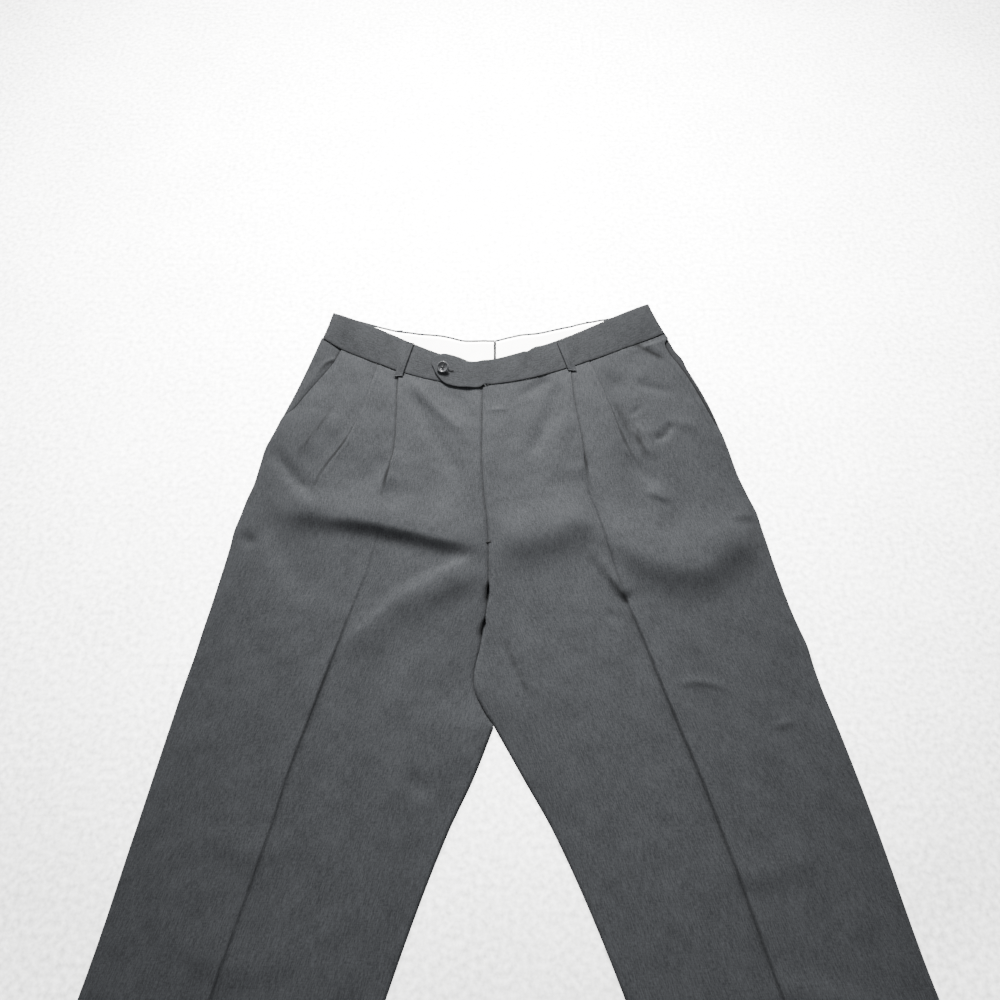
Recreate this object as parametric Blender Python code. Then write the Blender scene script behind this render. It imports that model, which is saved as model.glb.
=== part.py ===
"""Pleated dress trousers lying flat, front up, waist towards +Y.

The trousers are built as they are cut and sewn: two fronts with reverse pleats, two backs, a
two-piece waistband that runs from centre front round the side to centre back, its white lining,
pocket facings, belt loops and the fly button.  Every piece is a wall of cloth.  The backs lie on
the surface, and the fronts dome over them, so the waist, the body and both legs stay hollow.

Sizes are in millimetres in a cutting frame: X to the wearer's left, Y up the garment and Z up.
"right" and "left" are the wearer's.  At the end all pieces move so that the origin is at the
middle of the underside's bounding box, and the meshes are written in metres.
"""

import math
from collections import namedtuple

import bpy

MM = 0.001

# Cloth thicknesses and gaps
CLOTH = 1.2
BAND_CLOTH = 2.0
LINING_CLOTH = 1.1
LOOP_CLOTH = 1.2
SEAM_GAP = 0.3
WAIST_SEAM_GAP = 0.5
LAYER_PITCH = 1.6          # from one layer of a pleat to the next, middle to middle

# Heights of the middle of a wall
BACK_HEIGHT = CLOTH / 2
LAID_HEIGHT = CLOTH + SEAM_GAP + CLOTH / 2
FACING_HEIGHT = LAID_HEIGHT
POCKET_EDGE_HEIGHT = LAID_HEIGHT + CLOTH + SEAM_GAP
BAND_BACK_HEIGHT = BAND_CLOTH / 2

# Waist
TOP_LEVEL = 640.0          # the waist seam at the sides
DIP_END_LEVEL = 330.0      # below this level the sections are straight
BAND_WIDTH = 38.0
BAND_TURN_RADIUS = 1.3     # of the fold at the side, to the middle of the wall
BAND_LIFT = 1.8            # of the waistband over the front's own height at the seam
BAND_OPEN_HEIGHT = 12.5    # of the waistband's top edge, away from the sides
BAND_SIDE_REACH = 70.0     # the band comes down to the side fold over this width
BAND_SHARES = (0.0, 0.5, 1.0)
BAND_CENTRE_GAP = 1.5      # from centre front to the end of the right waistband
SIDE_FOLD_ANGLES = (90, 45, 0, -45, -90)
FRONT_SEAM_AT_CENTRE = 567.0
FRONT_TOP_AT_CENTRE = 595.0
BACK_TOP_AT_CENTRE = 636.0
CENTRE_FRONT = -20.0
CENTRE_BACK = -6.5
LINING_STEP_DOWN = 3.0     # the lining stops this far below the top edge of the back
LINING_FIRST_STATION = 2   # the lining starts here, past the side fold
LINING_SEAM_STEP = 1.0     # from the waist seam up to the lining's lower edge
FRONT_STATIONS = 14
BACK_STATIONS = 22

# Legs
FORK_LEVEL = 285.0         # from here up the backs' inner edges turn to centre back
PARTING_LEVEL = 150.0      # above it the legs' inner edges share one line
HEM_LEVEL = -430.0
TILT_START_LEVEL = 50.0    # from here down the sections turn square to the leg
PROFILE_POWER = 2.8        # how quickly a front rises from its edges

# Sections of the pieces, as (level to reach, steps to it), and places across them
FRONT_LEVELS = ((490, 8), (340, 9), (PARTING_LEVEL, 7), (TILT_START_LEVEL, 2), (HEM_LEVEL, 4))
BACK_LEVELS = ((340, 5), (PARTING_LEVEL, 7), (TILT_START_LEVEL, 2), (HEM_LEVEL, 4))
OUTER_SHARES = (0.0, 0.08, 0.22, 0.42, 0.64, 0.84)
MIDDLE_SHARES = (0.5, 1.0)
INNER_SHARES = (0.2, 0.42, 0.64, 0.84, 1.0)
FACING_SHARES = (0.0, 0.25, 0.5, 0.75, 1.0)
BACK_COLUMNS = 9

# Pleats
PLEAT_DEPTH = 9.0          # the hidden turn under each pleat, at the waist
PLEAT_DEPTH_END = 0.8
PLEAT_EASE = 70.0          # the pleat's lift dies away over this width
PLEAT_NEXT = 13.0          # first point of the top layer, from the folded edge
PLEAT_TAPER = 0.7          # power by which the hidden turn narrows down the pleat
PLEAT_CLOSE = 12.0         # a folded pleat's lift ends within this length
BEFORE_SECOND = 5.0        # gaps from the outer cloth to each pleat's folded edge
BEFORE_MAIN = 6.0
CREASE_RISE = 1.6
CREASE_WIDTH = 3.5
CREASE_START = 60.0        # the crease reaches its full rise over this length
CREASE_STEPS = (-4.0, -2.0, 0.0, 2.0, 4.0)

# Belt loops and button
LOOP_WIDTH = 11.0
LOOP_STATIONS = 8
LOOP_ROUNDNESS = 0.5       # power of the arch between the loop's two ends
LOOP_STAND_OFF = 1.2
LOOP_OVER_PLEAT = 1.5      # the loop's lower end clears the main pleat under it
BACK_LOOP_WIDTH = 11.0
BACK_LOOP_THICKNESS = 1.0
BACK_LOOP_RAMP = 14.0
BACK_LOOP_MARGIN = 7.0
BACK_LOOP_LOW = 3.0        # from the waist seam up to the loop
BACK_LOOP_HIGH = 1.0       # from the loop up to the band's top edge
BACK_LOOPS = {"right": -132.0, "centre": CENTRE_BACK, "left": 118.0}
BUTTON_RADIUS = 8.0
BUTTON_PLACE = (-71.0, 584.0)
BUTTON_TILT = (24.0, -10.0)
BUTTON_BAND_SHARE = 0.55   # the button sits at this share of the band's width
BUTTON_STAND_OFF = 0.5
BUTTON_SIDES = 28
# The button's profile: how far inside its edge, and how high
BUTTON_PROFILE = ((1.2, 0.0), (0.2, 0.5), (0.0, 1.2), (0.3, 2.3), (1.0, 2.6), (1.8, 2.4), (3.0, 1.7))
HOLE_RADIUS = 0.9
HOLE_PLACE = 2.0           # from the button's middle
HOLE_SIDES = 10
HOLE_CUT = 8.0             # length of the tool that cuts a hole

Side = namedtuple("Side", "name inward seam_rise seam_reach seam_power corner_low corner_high"
                  " band_rise band_power back_power hem_slope")
SIDES = {
    "right": Side("right", 1, 71, 209, 1.85, -229.0, -219.0, 87, 1.25, 1.5, 0.29),
    "left": Side("left", -1, 80, 230, 1.4, 211.0, 203.0, 94, 1.3, 1.0, 0.33),
}

Section = namedtuple("Section", "level outer crease inner crest inner_height")
SECTIONS = {
    "right": [
        Section(640, -229, -126, -20.0, 12.0, 13.0),
        Section(600, -240, -126, -20.0, 13.0, 13.5),
        Section(560, -252, -125, -20.0, 14.0, 14.0),
        Section(500, -272, -125, -20.0, 14.5, 14.0),
        Section(440, -287, -133, -17.0, 14.0, 13.0),
        Section(380, -299, -138, -12.5, 13.5, 11.5),
        Section(320, -308, -148, -11.5, 13.0, 9.0),
        Section(280, -314, -160, -13.0, 13.0, 6.0),
        Section(240, -320, -172, -19.0, 12.5, 3.4),
        Section(192, -329, -186, -26.0, 12.0, 2.1),
        Section(150, -336, -198, -6.0, 11.5, 2.1),
        Section(100, -344, -212, -26.0, 11.0, 2.1),
        Section(50, -352, -223, -50.0, 10.5, 2.1),
        Section(-80, -374, -258, -104.0, 10.5, 2.1),
        Section(-270, -419, -308, -176.0, 10.0, 2.1),
        Section(-430, -457, -349, -240.0, 10.0, 2.1),
    ],
    "left": [
        Section(640, 212, 88, -20.0, 12.0, 13.0),
        Section(600, 231, 89, -20.0, 13.0, 13.5),
        Section(560, 249, 92, -20.0, 14.0, 14.0),
        Section(500, 266, 98, -20.0, 14.5, 14.0),
        Section(440, 280, 102, -17.0, 14.0, 13.0),
        Section(380, 296, 116, -12.5, 13.5, 11.5),
        Section(320, 307, 129, -11.5, 13.0, 9.0),
        Section(280, 315, 140, -13.0, 13.0, 6.0),
        Section(240, 325, 154, -19.0, 12.5, 3.4),
        Section(192, 334, 169, -26.0, 12.0, 2.1),
        Section(150, 344, 183, -6.0, 11.5, 2.1),
        Section(100, 355, 200, 23.0, 11.0, 2.1),
        Section(50, 365, 215, 52.0, 10.5, 2.1),
        Section(-80, 389, 253, 115.0, 10.5, 2.1),
        Section(-270, 439, 317, 195.0, 10.0, 2.1),
        Section(-430, 483, 375, 265.0, 10.0, 2.1),
    ],
}

# The second pleat of each front, nearer the pocket: (level along the piece, place across)
SECOND_PLEAT = {
    "right": [(640, -153), (560, -166), (500, -183), (440, -210), (380, -226), (-430, -403)],
    "left": [(640, 112), (580, 130), (520, 147), (480, 160), (420, 186), (-430, 430)],
}
PLEAT_END = {
    ("right", "main"): 455.0,
    ("right", "second"): 490.0,
    ("left", "main"): 470.0,
    ("left", "second"): 500.0,
}

# The slant pocket's edge on each front: its two ends, (across, along)
Pocket = namedtuple("Pocket", "high low gape")
POCKETS = {
    "right": Pocket((-206.0, 626.0), (-260.0, 519.0), 2.0),
    "left": Pocket((204.0, 645.0), (256.0, 519.0), 2.0),
}
FACING_UNDERLAP = 14.0
FACING_END = 9.0           # the facing stops this far above the pocket's lower end
POCKET_SETTLE = 16.0       # below the pocket the front's edge comes down within this length
POCKET_ROUNDS = 8          # steps to settle where the slant edge crosses a section
GAPE_START_LEVEL = 560.0   # the pocket's mouth stands open above this level
GAPE_LENGTH = 60.0

# Large folds of the fronts, each a soft ridge along a route from the wearer's right to the left
FOLD_FADE_IN = 0.3         # shares of the route over which a fold rises and dies away
FOLD_FADE_OUT = 0.25
FOLD_OUTER_FADE = 22.0     # folds die away towards a front's outer and inner edges
FOLD_INNER_FADE = 12.0
Fold = namedtuple("Fold", "name side route rise reach_up reach_down")
FOLDS = [
    Fold("thigh fold", "right", [(-262, 402), (-190, 379), (-62, 352), (-14, 349)], 7.0, 34, 11),
    Fold("crotch drag", "right", [(-16, 334), (-109, 286), (-185, 222)], 3.5, 22, 14),
    Fold("fork fold", "left", [(-10, 356), (60, 352), (118, 384)], 3.5, 26, 12),
    Fold("swag", "left", [(150, 346), (209, 316), (240, 328), (292, 392)], 6.0, 26, 11),
]

TabStation = namedtuple("TabStation", "across low high")
TAB = [
    TabStation(-84.0, 588, 600),
    TabStation(-79.0, 573, 607),
    TabStation(-69.0, 562, 609),
    TabStation(-50.0, 556, 601),
    TabStation(-31.0, 557, 596),
    TabStation(-20.0, 565, 595),
]
TAB_LIFT = BAND_CLOTH + SEAM_GAP + 0.4
TAB_RUN_OUT = 11.0         # past centre front the waistband comes down to its own height

CLOTH_LOOK = ((0.115, 0.122, 0.132), 0.85)
LINING_LOOK = ((0.78, 0.77, 0.74), 0.8)
BUTTON_LOOK = ((0.09, 0.092, 0.1), 0.3)


def clamp(value, low=0.0, high=1.0):
    return max(low, min(high, value))


def mix(start, end, share):
    return start + (end - start) * share


def smooth(share):
    share = clamp(share)
    return share * share * (3 - 2 * share)


def curve_value(points, place):
    """Reads a smooth curve through (place, value) points whose places fall."""
    if place >= points[0][0]:
        return points[0][1]
    if place <= points[-1][0]:
        return points[-1][1]
    index = 0
    while points[index + 1][0] > place:
        index += 1
    slopes = []
    for here in (index, index + 1):
        before = points[max(here - 1, 0)]
        after = points[min(here + 1, len(points) - 1)]
        slopes.append((after[1] - before[1]) / (after[0] - before[0]))
    start, end = points[index], points[index + 1]
    span = end[0] - start[0]
    share = (place - start[0]) / span
    rise = 3 * share ** 2 - 2 * share ** 3
    lead = share ** 3 - 2 * share ** 2 + share
    trail = share ** 3 - share ** 2
    return start[1] * (1 - rise) + end[1] * rise + span * (lead * slopes[0] + trail * slopes[1])


def section_value(side, column, level):
    """Reads a column of the side's sections; the inner edge turns sharply where the legs part."""
    points = [(row.level, getattr(row, column)) for row in SECTIONS[side.name]]
    if column == "inner":
        above = level >= PARTING_LEVEL
        points = [p for p in points if p[0] == PARTING_LEVEL or (p[0] > PARTING_LEVEL) == above]
    return curve_value(points, level)


# --- Waist lines -----------------------------------------------------------------------------


def front_seam(side, across):
    reach = clamp(abs(across - CENTRE_FRONT) / side.seam_reach)
    return FRONT_SEAM_AT_CENTRE + side.seam_rise * reach ** side.seam_power


def front_top(side, across):
    span = abs(side.corner_high - CENTRE_FRONT)
    reach = clamp(abs(across - CENTRE_FRONT) / span)
    return FRONT_TOP_AT_CENTRE + side.band_rise * reach ** side.band_power


def back_top(side, across):
    span = abs(side.corner_high - CENTRE_BACK)
    reach = clamp(abs(across - CENTRE_BACK) / span)
    corner = front_top(side, side.corner_high)
    return mix(BACK_TOP_AT_CENTRE, corner, reach ** side.back_power)


def back_seam(side, across):
    """The back's waist seam: it meets the front's at the side."""
    span = abs(side.corner_high - CENTRE_BACK)
    reach = clamp(abs(across - CENTRE_BACK) / span)
    side_width = front_top(side, side.corner_high) - front_seam(side, side.corner_low)
    return back_top(side, across) - mix(BAND_WIDTH, side_width, reach)


# --- Sections --------------------------------------------------------------------------------


def section_along(side, level, across, seam):
    """Where a section of the given level lies along the garment at a place across it."""
    waist_share = clamp((level - DIP_END_LEVEL) / (TOP_LEVEL - DIP_END_LEVEL))
    dip = (seam(side, across) - TOP_LEVEL) * waist_share
    turn = smooth((TILT_START_LEVEL - level) / (TILT_START_LEVEL - HEM_LEVEL))
    outer = section_value(side, "outer", level)
    return level + dip - abs(across - outer) * side.hem_slope * turn


def pocket_line(side, along):
    pocket = POCKETS[side.name]
    share = (along - pocket.low[1]) / (pocket.high[1] - pocket.low[1])
    return mix(pocket.low[0], pocket.high[0], share)


def front_edge(side, level):
    """The front's outer edge: the outseam, or the slant pocket's edge above it."""
    outer = section_value(side, "outer", level)
    pocket = POCKETS[side.name]
    if level <= pocket.low[1]:
        return outer
    across = outer
    for _ in range(POCKET_ROUNDS):
        along = section_along(side, level, across, front_seam)
        across = pocket_line(side, along)
    return max(outer, across) if side.inward > 0 else min(outer, across)


def edge_height(side, level):
    """Height of the front's outer edge: on the back, or over the facing at the pocket."""
    share = smooth((level - POCKETS[side.name].low[1]) / POCKET_SETTLE + 1)
    gape = POCKETS[side.name].gape * smooth((level - GAPE_START_LEVEL) / GAPE_LENGTH)
    return mix(LAID_HEIGHT, POCKET_EDGE_HEIGHT + gape, share)


def base_height(side, level, across):
    """Height of a front without its folds: it rises from both edges to the crease."""
    edge = front_edge(side, level)
    crease = section_value(side, "crease", level)
    inner = section_value(side, "inner", level)
    crest = section_value(side, "crest", level)
    if (across - crease) * side.inward < 0:
        start, low = edge, edge_height(side, level)
    else:
        start, low = inner, section_value(side, "inner_height", level)
    share = clamp((across - start) / (crease - start))
    return low + (crest - low) * (1 - (1 - share) ** PROFILE_POWER)


def fold_height(fold, across, along):
    """Height that one fold adds at a point, from the point's distance to the fold's route."""
    lengths = [math.dist(a, b) for a, b in zip(fold.route, fold.route[1:])]
    best = None
    passed = 0.0
    for start, end, length in zip(fold.route, fold.route[1:], lengths):
        run = ((end[0] - start[0]) / length, (end[1] - start[1]) / length)
        offset = (across - start[0], along - start[1])
        place = clamp(offset[0] * run[0] + offset[1] * run[1], 0, length)
        gap = (offset[0] - run[0] * place, offset[1] - run[1] * place)
        distance = math.hypot(*gap)
        if best is None or distance < best[0]:
            best = (distance, gap[1] >= 0, (passed + place) / sum(lengths))
        passed += length
    distance, above, share = best
    reach = fold.reach_up if above else fold.reach_down
    ends = smooth(share / FOLD_FADE_IN) * smooth((1 - share) / FOLD_FADE_OUT)
    return fold.rise * ends * math.exp(-(distance / reach) ** 2)


def front_height(side, level, across):
    """Height of a front's wall, with its large folds, but without pleats and crease."""
    along = section_along(side, level, across, front_seam)
    height = base_height(side, level, across)
    edge_gap = abs(across - front_edge(side, level))
    inner_gap = abs(across - section_value(side, "inner", level))
    fade = smooth(edge_gap / FOLD_OUTER_FADE) * smooth(inner_gap / FOLD_INNER_FADE)
    for fold in FOLDS:
        if fold.side == side.name:
            height += fold_height(fold, across, along) * fade
    return height


def pleat_points(side, level, place, end_level, line):
    """The five points at a pleat, outer to inner, and the first point of its top layer.

    While the pleat is folded they are the lower layer, the hidden turn, the layer that comes
    back and the folded edge.  Below its end they spread out along the cloth.
    """
    inward = side.inward
    next_place = place + inward * PLEAT_NEXT
    if level < end_level:
        rise = CREASE_RISE * smooth((end_level - level) / CREASE_START) if line == "main" else 0.0
        points = []
        for step in CREASE_STEPS:
            across = place + inward * step
            ridge = rise * math.exp(-(step / CREASE_WIDTH) ** 2)
            points.append((across, front_height(side, level, across) + ridge))
        return points, (next_place, front_height(side, level, next_place))
    folded = clamp((level - end_level) / (TOP_LEVEL - end_level))
    depth = mix(PLEAT_DEPTH_END, PLEAT_DEPTH, folded ** PLEAT_TAPER)
    low = front_height(side, level, place)
    high = low + 2 * LAYER_PITCH
    eased = (1 - PLEAT_NEXT / PLEAT_EASE) ** 2
    next_height = front_height(side, level, next_place) + 2 * LAYER_PITCH * eased
    turn = place + inward * depth
    turn_high = mix(high, next_height, depth / PLEAT_NEXT)
    points = [
        (place, low),
        (turn, turn_high - 2 * LAYER_PITCH),
        (turn, turn_high - LAYER_PITCH),
        (place, high - LAYER_PITCH),
        (place, high),
    ]
    return points, (next_place, next_height)


def ease_height(side, level, across, place, end_level):
    """What a pleat still adds to the cloth further in than its folded edge."""
    past = (across - place) * side.inward
    folded = smooth((level - end_level + PLEAT_CLOSE) / PLEAT_CLOSE)
    return 2 * LAYER_PITCH * folded * clamp(1 - past / PLEAT_EASE) ** 2


def front_row(side, level):
    """One section of a front, from its outer edge to its inner edge: (across, height) points."""
    edge = front_edge(side, level)
    inner = section_value(side, "inner", level) - side.inward * SEAM_GAP
    second = curve_value(SECOND_PLEAT[side.name], level)
    main = section_value(side, "crease", level)
    second_end = PLEAT_END[(side.name, "second")]
    main_end = PLEAT_END[(side.name, "main")]
    row = []
    for share in OUTER_SHARES:
        across = mix(edge, second - side.inward * BEFORE_SECOND, share)
        row.append((across, front_height(side, level, across)))
    points, after = pleat_points(side, level, second, second_end, "second")
    row.extend(points)
    row.append(after)
    gap_end = main - side.inward * BEFORE_MAIN
    for share in MIDDLE_SHARES:
        across = mix(after[0], gap_end, share)
        lift = ease_height(side, level, across, second, second_end)
        row.append((across, front_height(side, level, across) + lift * (1 - share)))
    points, after = pleat_points(side, level, main, main_end, "main")
    row.extend(points)
    row.append(after)
    for share in INNER_SHARES:
        across = mix(after[0], inner, share)
        lift = ease_height(side, level, across, main, main_end)
        row.append((across, front_height(side, level, across) + lift))
    return row


# --- Walls -----------------------------------------------------------------------------------


def offset_row(row, distance):
    """Moves a section's points square to it, with mitred corners."""
    moved = []
    for index, (across, along, height) in enumerate(row):
        normals = []
        for start, end in ((index - 1, index), (index, index + 1)):
            if start < 0 or end >= len(row):
                continue
            run = (row[end][0] - row[start][0], row[end][2] - row[start][2])
            length = math.hypot(*run)
            normals.append((-run[1] / length, run[0] / length))
        first, last = normals[0], normals[-1]
        scale = distance / (1 + first[0] * last[0] + first[1] * last[1])
        shift = ((first[0] + last[0]) * scale, (first[1] + last[1]) * scale)
        moved.append((across + shift[0], along, height + shift[1]))
    return moved


def wall_mesh(name, rows, thickness):
    """A closed wall of one thickness whose middle runs through the rows of points."""
    count = len(rows[0])
    upper = [offset_row(row, thickness / 2) for row in rows]
    lower = [offset_row(row, -thickness / 2) for row in rows]
    points = [point for row in upper + lower for point in row]
    under = len(rows) * count
    faces = []

    def add(a, b, c, d):
        faces.append((a, b, c))
        faces.append((a, c, d))

    for r in range(len(rows) - 1):
        for c in range(count - 1):
            a = r * count + c
            b = a + count
            add(a, b, b + 1, a + 1)
            add(under + a, under + a + 1, under + b + 1, under + b)
    for r in range(len(rows) - 1):
        first = r * count
        last = first + count - 1
        add(first, under + first, under + first + count, first + count)
        add(last, last + count, under + last + count, under + last)
    for c in range(count - 1):
        top = c
        end = (len(rows) - 1) * count + c
        add(top, top + 1, under + top + 1, under + top)
        add(end, under + end, under + end + 1, end + 1)
    mesh = bpy.data.meshes.new(name)
    mesh.from_pydata([[value * MM for value in point] for point in points], [], faces)
    mesh.update()
    return mesh


def add_piece(name, mesh, look):
    colour, roughness = look
    material = bpy.data.materials.new(name + "_finish")
    material.use_nodes = True
    shader = material.node_tree.nodes["Principled BSDF"]
    shader.inputs["Base Color"].default_value = (*colour, 1.0)
    shader.inputs["Roughness"].default_value = roughness
    shader.inputs["Metallic"].default_value = 0.0
    mesh.materials.append(material)
    piece = bpy.data.objects.new(name, mesh)
    bpy.context.collection.objects.link(piece)
    return piece


def face_outward(mesh):
    """Turns the mesh's faces round if they point inward."""
    volume = 0.0
    for face in mesh.polygons:
        corners = [mesh.vertices[index].co for index in face.vertices]
        for second, third in zip(corners[1:], corners[2:]):
            volume += corners[0].dot(second.cross(third))
    if volume < 0:
        mesh.flip_normals()


def add_wall(name, rows, thickness, look=CLOTH_LOOK):
    mesh = wall_mesh(name, rows, thickness)
    face_outward(mesh)
    return add_piece(name, mesh, look)


# --- Fronts and backs ------------------------------------------------------------------------


def section_levels(steps):
    """Section levels from the waist seam down to the hem."""
    result = [TOP_LEVEL]
    for end, count in steps:
        start = result[-1]
        result.extend(mix(start, end, step / count) for step in range(1, count + 1))
    return result


def make_front(side):
    rows = []
    for level in section_levels(FRONT_LEVELS):
        row = []
        for across, height in front_row(side, level):
            along = section_along(side, level, across, front_seam)
            if level == TOP_LEVEL:
                along -= WAIST_SEAM_GAP
            row.append((across, along, height))
        rows.append(row if side.inward > 0 else row[::-1])
    add_wall("front_" + side.name, rows, CLOTH)


def back_inner(side, level):
    """The back's inner edge: the centre-back seam, and the inseam from the fork down."""
    share = smooth((level - FORK_LEVEL) / (TOP_LEVEL - FORK_LEVEL))
    return mix(section_value(side, "inner", level), CENTRE_BACK, share) - side.inward * SEAM_GAP


def make_back(side):
    rows = []
    for level in section_levels(BACK_LEVELS):
        outer = section_value(side, "outer", level)
        inner = back_inner(side, level)
        row = []
        for step in range(BACK_COLUMNS + 1):
            across = mix(outer, inner, step / BACK_COLUMNS)
            along = section_along(side, level, across, back_seam)
            if level == TOP_LEVEL:
                along -= WAIST_SEAM_GAP
            row.append((across, along, BACK_HEIGHT))
        rows.append(row if side.inward > 0 else row[::-1])
    add_wall("back_" + side.name, rows, CLOTH)


def make_facing(side):
    """The cloth that shows in the slant pocket's mouth, between the front and the outseam."""
    pocket = POCKETS[side.name]
    rows = []
    for share in FACING_SHARES:
        level = mix(TOP_LEVEL, pocket.low[1] + FACING_END, share)
        outer = section_value(side, "outer", level)
        inner = front_edge(side, level) + side.inward * FACING_UNDERLAP
        row = []
        for across in (outer, inner):
            along = section_along(side, level, across, front_seam)
            if level == TOP_LEVEL:
                along -= WAIST_SEAM_GAP
            row.append((across, along, FACING_HEIGHT))
        rows.append(row if side.inward > 0 else row[::-1])
    add_wall("pocket_facing_" + side.name, rows, LINING_CLOTH)


# --- Waistband -------------------------------------------------------------------------------


def band_front_height(side, across, share):
    """Middle of the waistband's front layer; share runs from its seam to its top edge."""
    seam = base_height(side, TOP_LEVEL, across) + BAND_LIFT
    past = clamp(abs(across - mix(side.corner_low, side.corner_high, share)) / BAND_SIDE_REACH)
    folded = BAND_BACK_HEIGHT + 2 * BAND_TURN_RADIUS
    open_height = mix(seam, BAND_OPEN_HEIGHT, share)
    return mix(folded, open_height, 1 - (1 - past) ** 2)


def back_loop_lift(across):
    """The back of the waistband rises over the belt loops under it."""
    lift = 0.0
    for middle in BACK_LOOPS.values():
        past = abs(across - middle) - BACK_LOOP_WIDTH / 2 - BACK_LOOP_MARGIN
        lift = max(lift, smooth(1 - past / BACK_LOOP_RAMP))
    return lift * (BACK_LOOP_THICKNESS + SEAM_GAP)


def back_stations(side, share):
    """Places across the back of the waistband, from the side to centre back."""
    start = mix(side.corner_low, side.corner_high, share) + side.inward * BAND_TURN_RADIUS
    end = CENTRE_BACK - side.inward * SEAM_GAP
    return [mix(start, end, step / BACK_STATIONS) for step in range(1, BACK_STATIONS + 1)]


def band_front_point(side, across, share):
    along = mix(front_seam(side, across), front_top(side, across), share)
    return (across, along, band_front_height(side, across, share))


def band_row(side, share, start_points):
    """The waistband at one share of its width: along the front, round the side, along the back."""
    corner = mix(side.corner_low, side.corner_high, share)
    row = list(start_points)
    begin = row[-1][0] if row else CENTRE_FRONT - side.inward * BAND_CENTRE_GAP
    for step in range(1 if row else 0, FRONT_STATIONS):
        across = mix(begin, corner + side.inward * BAND_TURN_RADIUS, step / FRONT_STATIONS)
        row.append(band_front_point(side, across, share))
    corner_along = mix(front_seam(side, corner), front_top(side, corner), share)
    for degrees in SIDE_FOLD_ANGLES:
        angle = math.radians(degrees)
        across = corner + side.inward * BAND_TURN_RADIUS * (1 - math.cos(angle))
        height = BAND_BACK_HEIGHT + BAND_TURN_RADIUS * (1 + math.sin(angle))
        row.append((across, corner_along, height))
    for across in back_stations(side, share):
        along = mix(back_seam(side, across), back_top(side, across), share)
        row.append((across, along, BAND_BACK_HEIGHT + back_loop_lift(across)))
    return row


def tab_points(share):
    """The extension past centre front, which lies on the other side's waistband."""
    left, right = SIDES["left"], SIDES["right"]
    points = []
    for station in TAB:
        seam, top = front_seam(right, station.across), front_top(right, station.across)
        along = mix(station.low, station.high, share)
        band_share = clamp((along - seam) / (top - seam))
        height = band_front_height(right, station.across, band_share) + TAB_LIFT
        points.append((station.across, along, height))
    points.append(band_front_point(left, CENTRE_FRONT + TAB_RUN_OUT, share))
    return points


def make_waistband(side):
    rows = []
    for share in BAND_SHARES:
        start = tab_points(share) if side.name == "left" else []
        rows.append(band_row(side, share, start))
    add_wall("waistband_" + side.name, rows, BAND_CLOTH)


def make_lining(side):
    rows = []
    height = BAND_CLOTH + SEAM_GAP + LINING_CLOTH / 2
    for share in BAND_SHARES:
        row = []
        for across in back_stations(side, share)[LINING_FIRST_STATION:]:
            low = back_seam(side, across) + LINING_SEAM_STEP
            high = back_top(side, across) - LINING_STEP_DOWN
            row.append((across, mix(low, high, share), height + back_loop_lift(across)))
        rows.append(row)
    add_wall("waistband_lining_" + side.name, rows, LINING_CLOTH, LINING_LOOK)


# --- Belt loops ------------------------------------------------------------------------------

FrontLoop = namedtuple("FrontLoop", "top bottom")
FRONT_LOOPS = {
    "right": FrontLoop((-114.0, 626.0), (-124.0, 577.0)),
    "left": FrontLoop((77.0, 628.0), (89.0, 585.0)),
}


def make_front_loop(side):
    """A strip over the waistband, sewn down at its top edge and just below its seam."""
    loop = FRONT_LOOPS[side.name]
    rows = []
    ground = BAND_CLOTH / 2 + SEAM_GAP + LOOP_CLOTH / 2
    for step in range(LOOP_STATIONS):
        share = step / (LOOP_STATIONS - 1)
        middle = mix(loop.top[0], loop.bottom[0], share)
        along = mix(loop.top[1], loop.bottom[1], share)
        row = []
        for edge in (-0.5, 0.0, 0.5):
            across = middle + edge * LOOP_WIDTH
            seam, top = front_seam(side, across), front_top(side, across)
            band_share = clamp((along - seam) / (top - seam))
            height = band_front_height(side, across, band_share) + ground
            height += LOOP_OVER_PLEAT * share
            arch = abs(math.sin(math.pi * share)) ** LOOP_ROUNDNESS
            row.append((across, along, height + LOOP_STAND_OFF * arch))
        rows.append(row)
    add_wall("front_loop_" + side.name, rows, LOOP_CLOTH)


def make_back_loop(place):
    middle = BACK_LOOPS[place]
    side = SIDES["left" if place == "left" else "right"]
    low = back_seam(side, middle) + BACK_LOOP_LOW
    high = back_top(side, middle) - BACK_LOOP_HIGH
    rows = []
    for share in reversed(BAND_SHARES):
        row = []
        for edge in (-0.5, 0.0, 0.5):
            across = middle + edge * BACK_LOOP_WIDTH
            row.append((across, mix(low, high, share), BACK_LOOP_THICKNESS / 2))
        rows.append(row)
    add_wall("back_loop_" + place, rows, BACK_LOOP_THICKNESS)


# --- Button ----------------------------------------------------------------------------------


def cut_hole(button, corner):
    """Cuts one of the four thread holes."""
    angle = math.radians(45 + 90 * corner)
    bpy.ops.mesh.primitive_cylinder_add(
        vertices=HOLE_SIDES, radius=HOLE_RADIUS * MM, depth=HOLE_CUT * MM
    )
    cutter = bpy.context.object
    cutter.name = "button_hole_%d" % corner
    cutter.location = [HOLE_PLACE * MM * math.cos(angle), HOLE_PLACE * MM * math.sin(angle), MM]
    cutter.parent = button
    cutter.hide_render = True
    cutter.display_type = "WIRE"
    cut = button.modifiers.new("hole_%d" % corner, "BOOLEAN")
    cut.object = cutter
    cut.operation = "DIFFERENCE"
    cut.solver = "EXACT"


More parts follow.
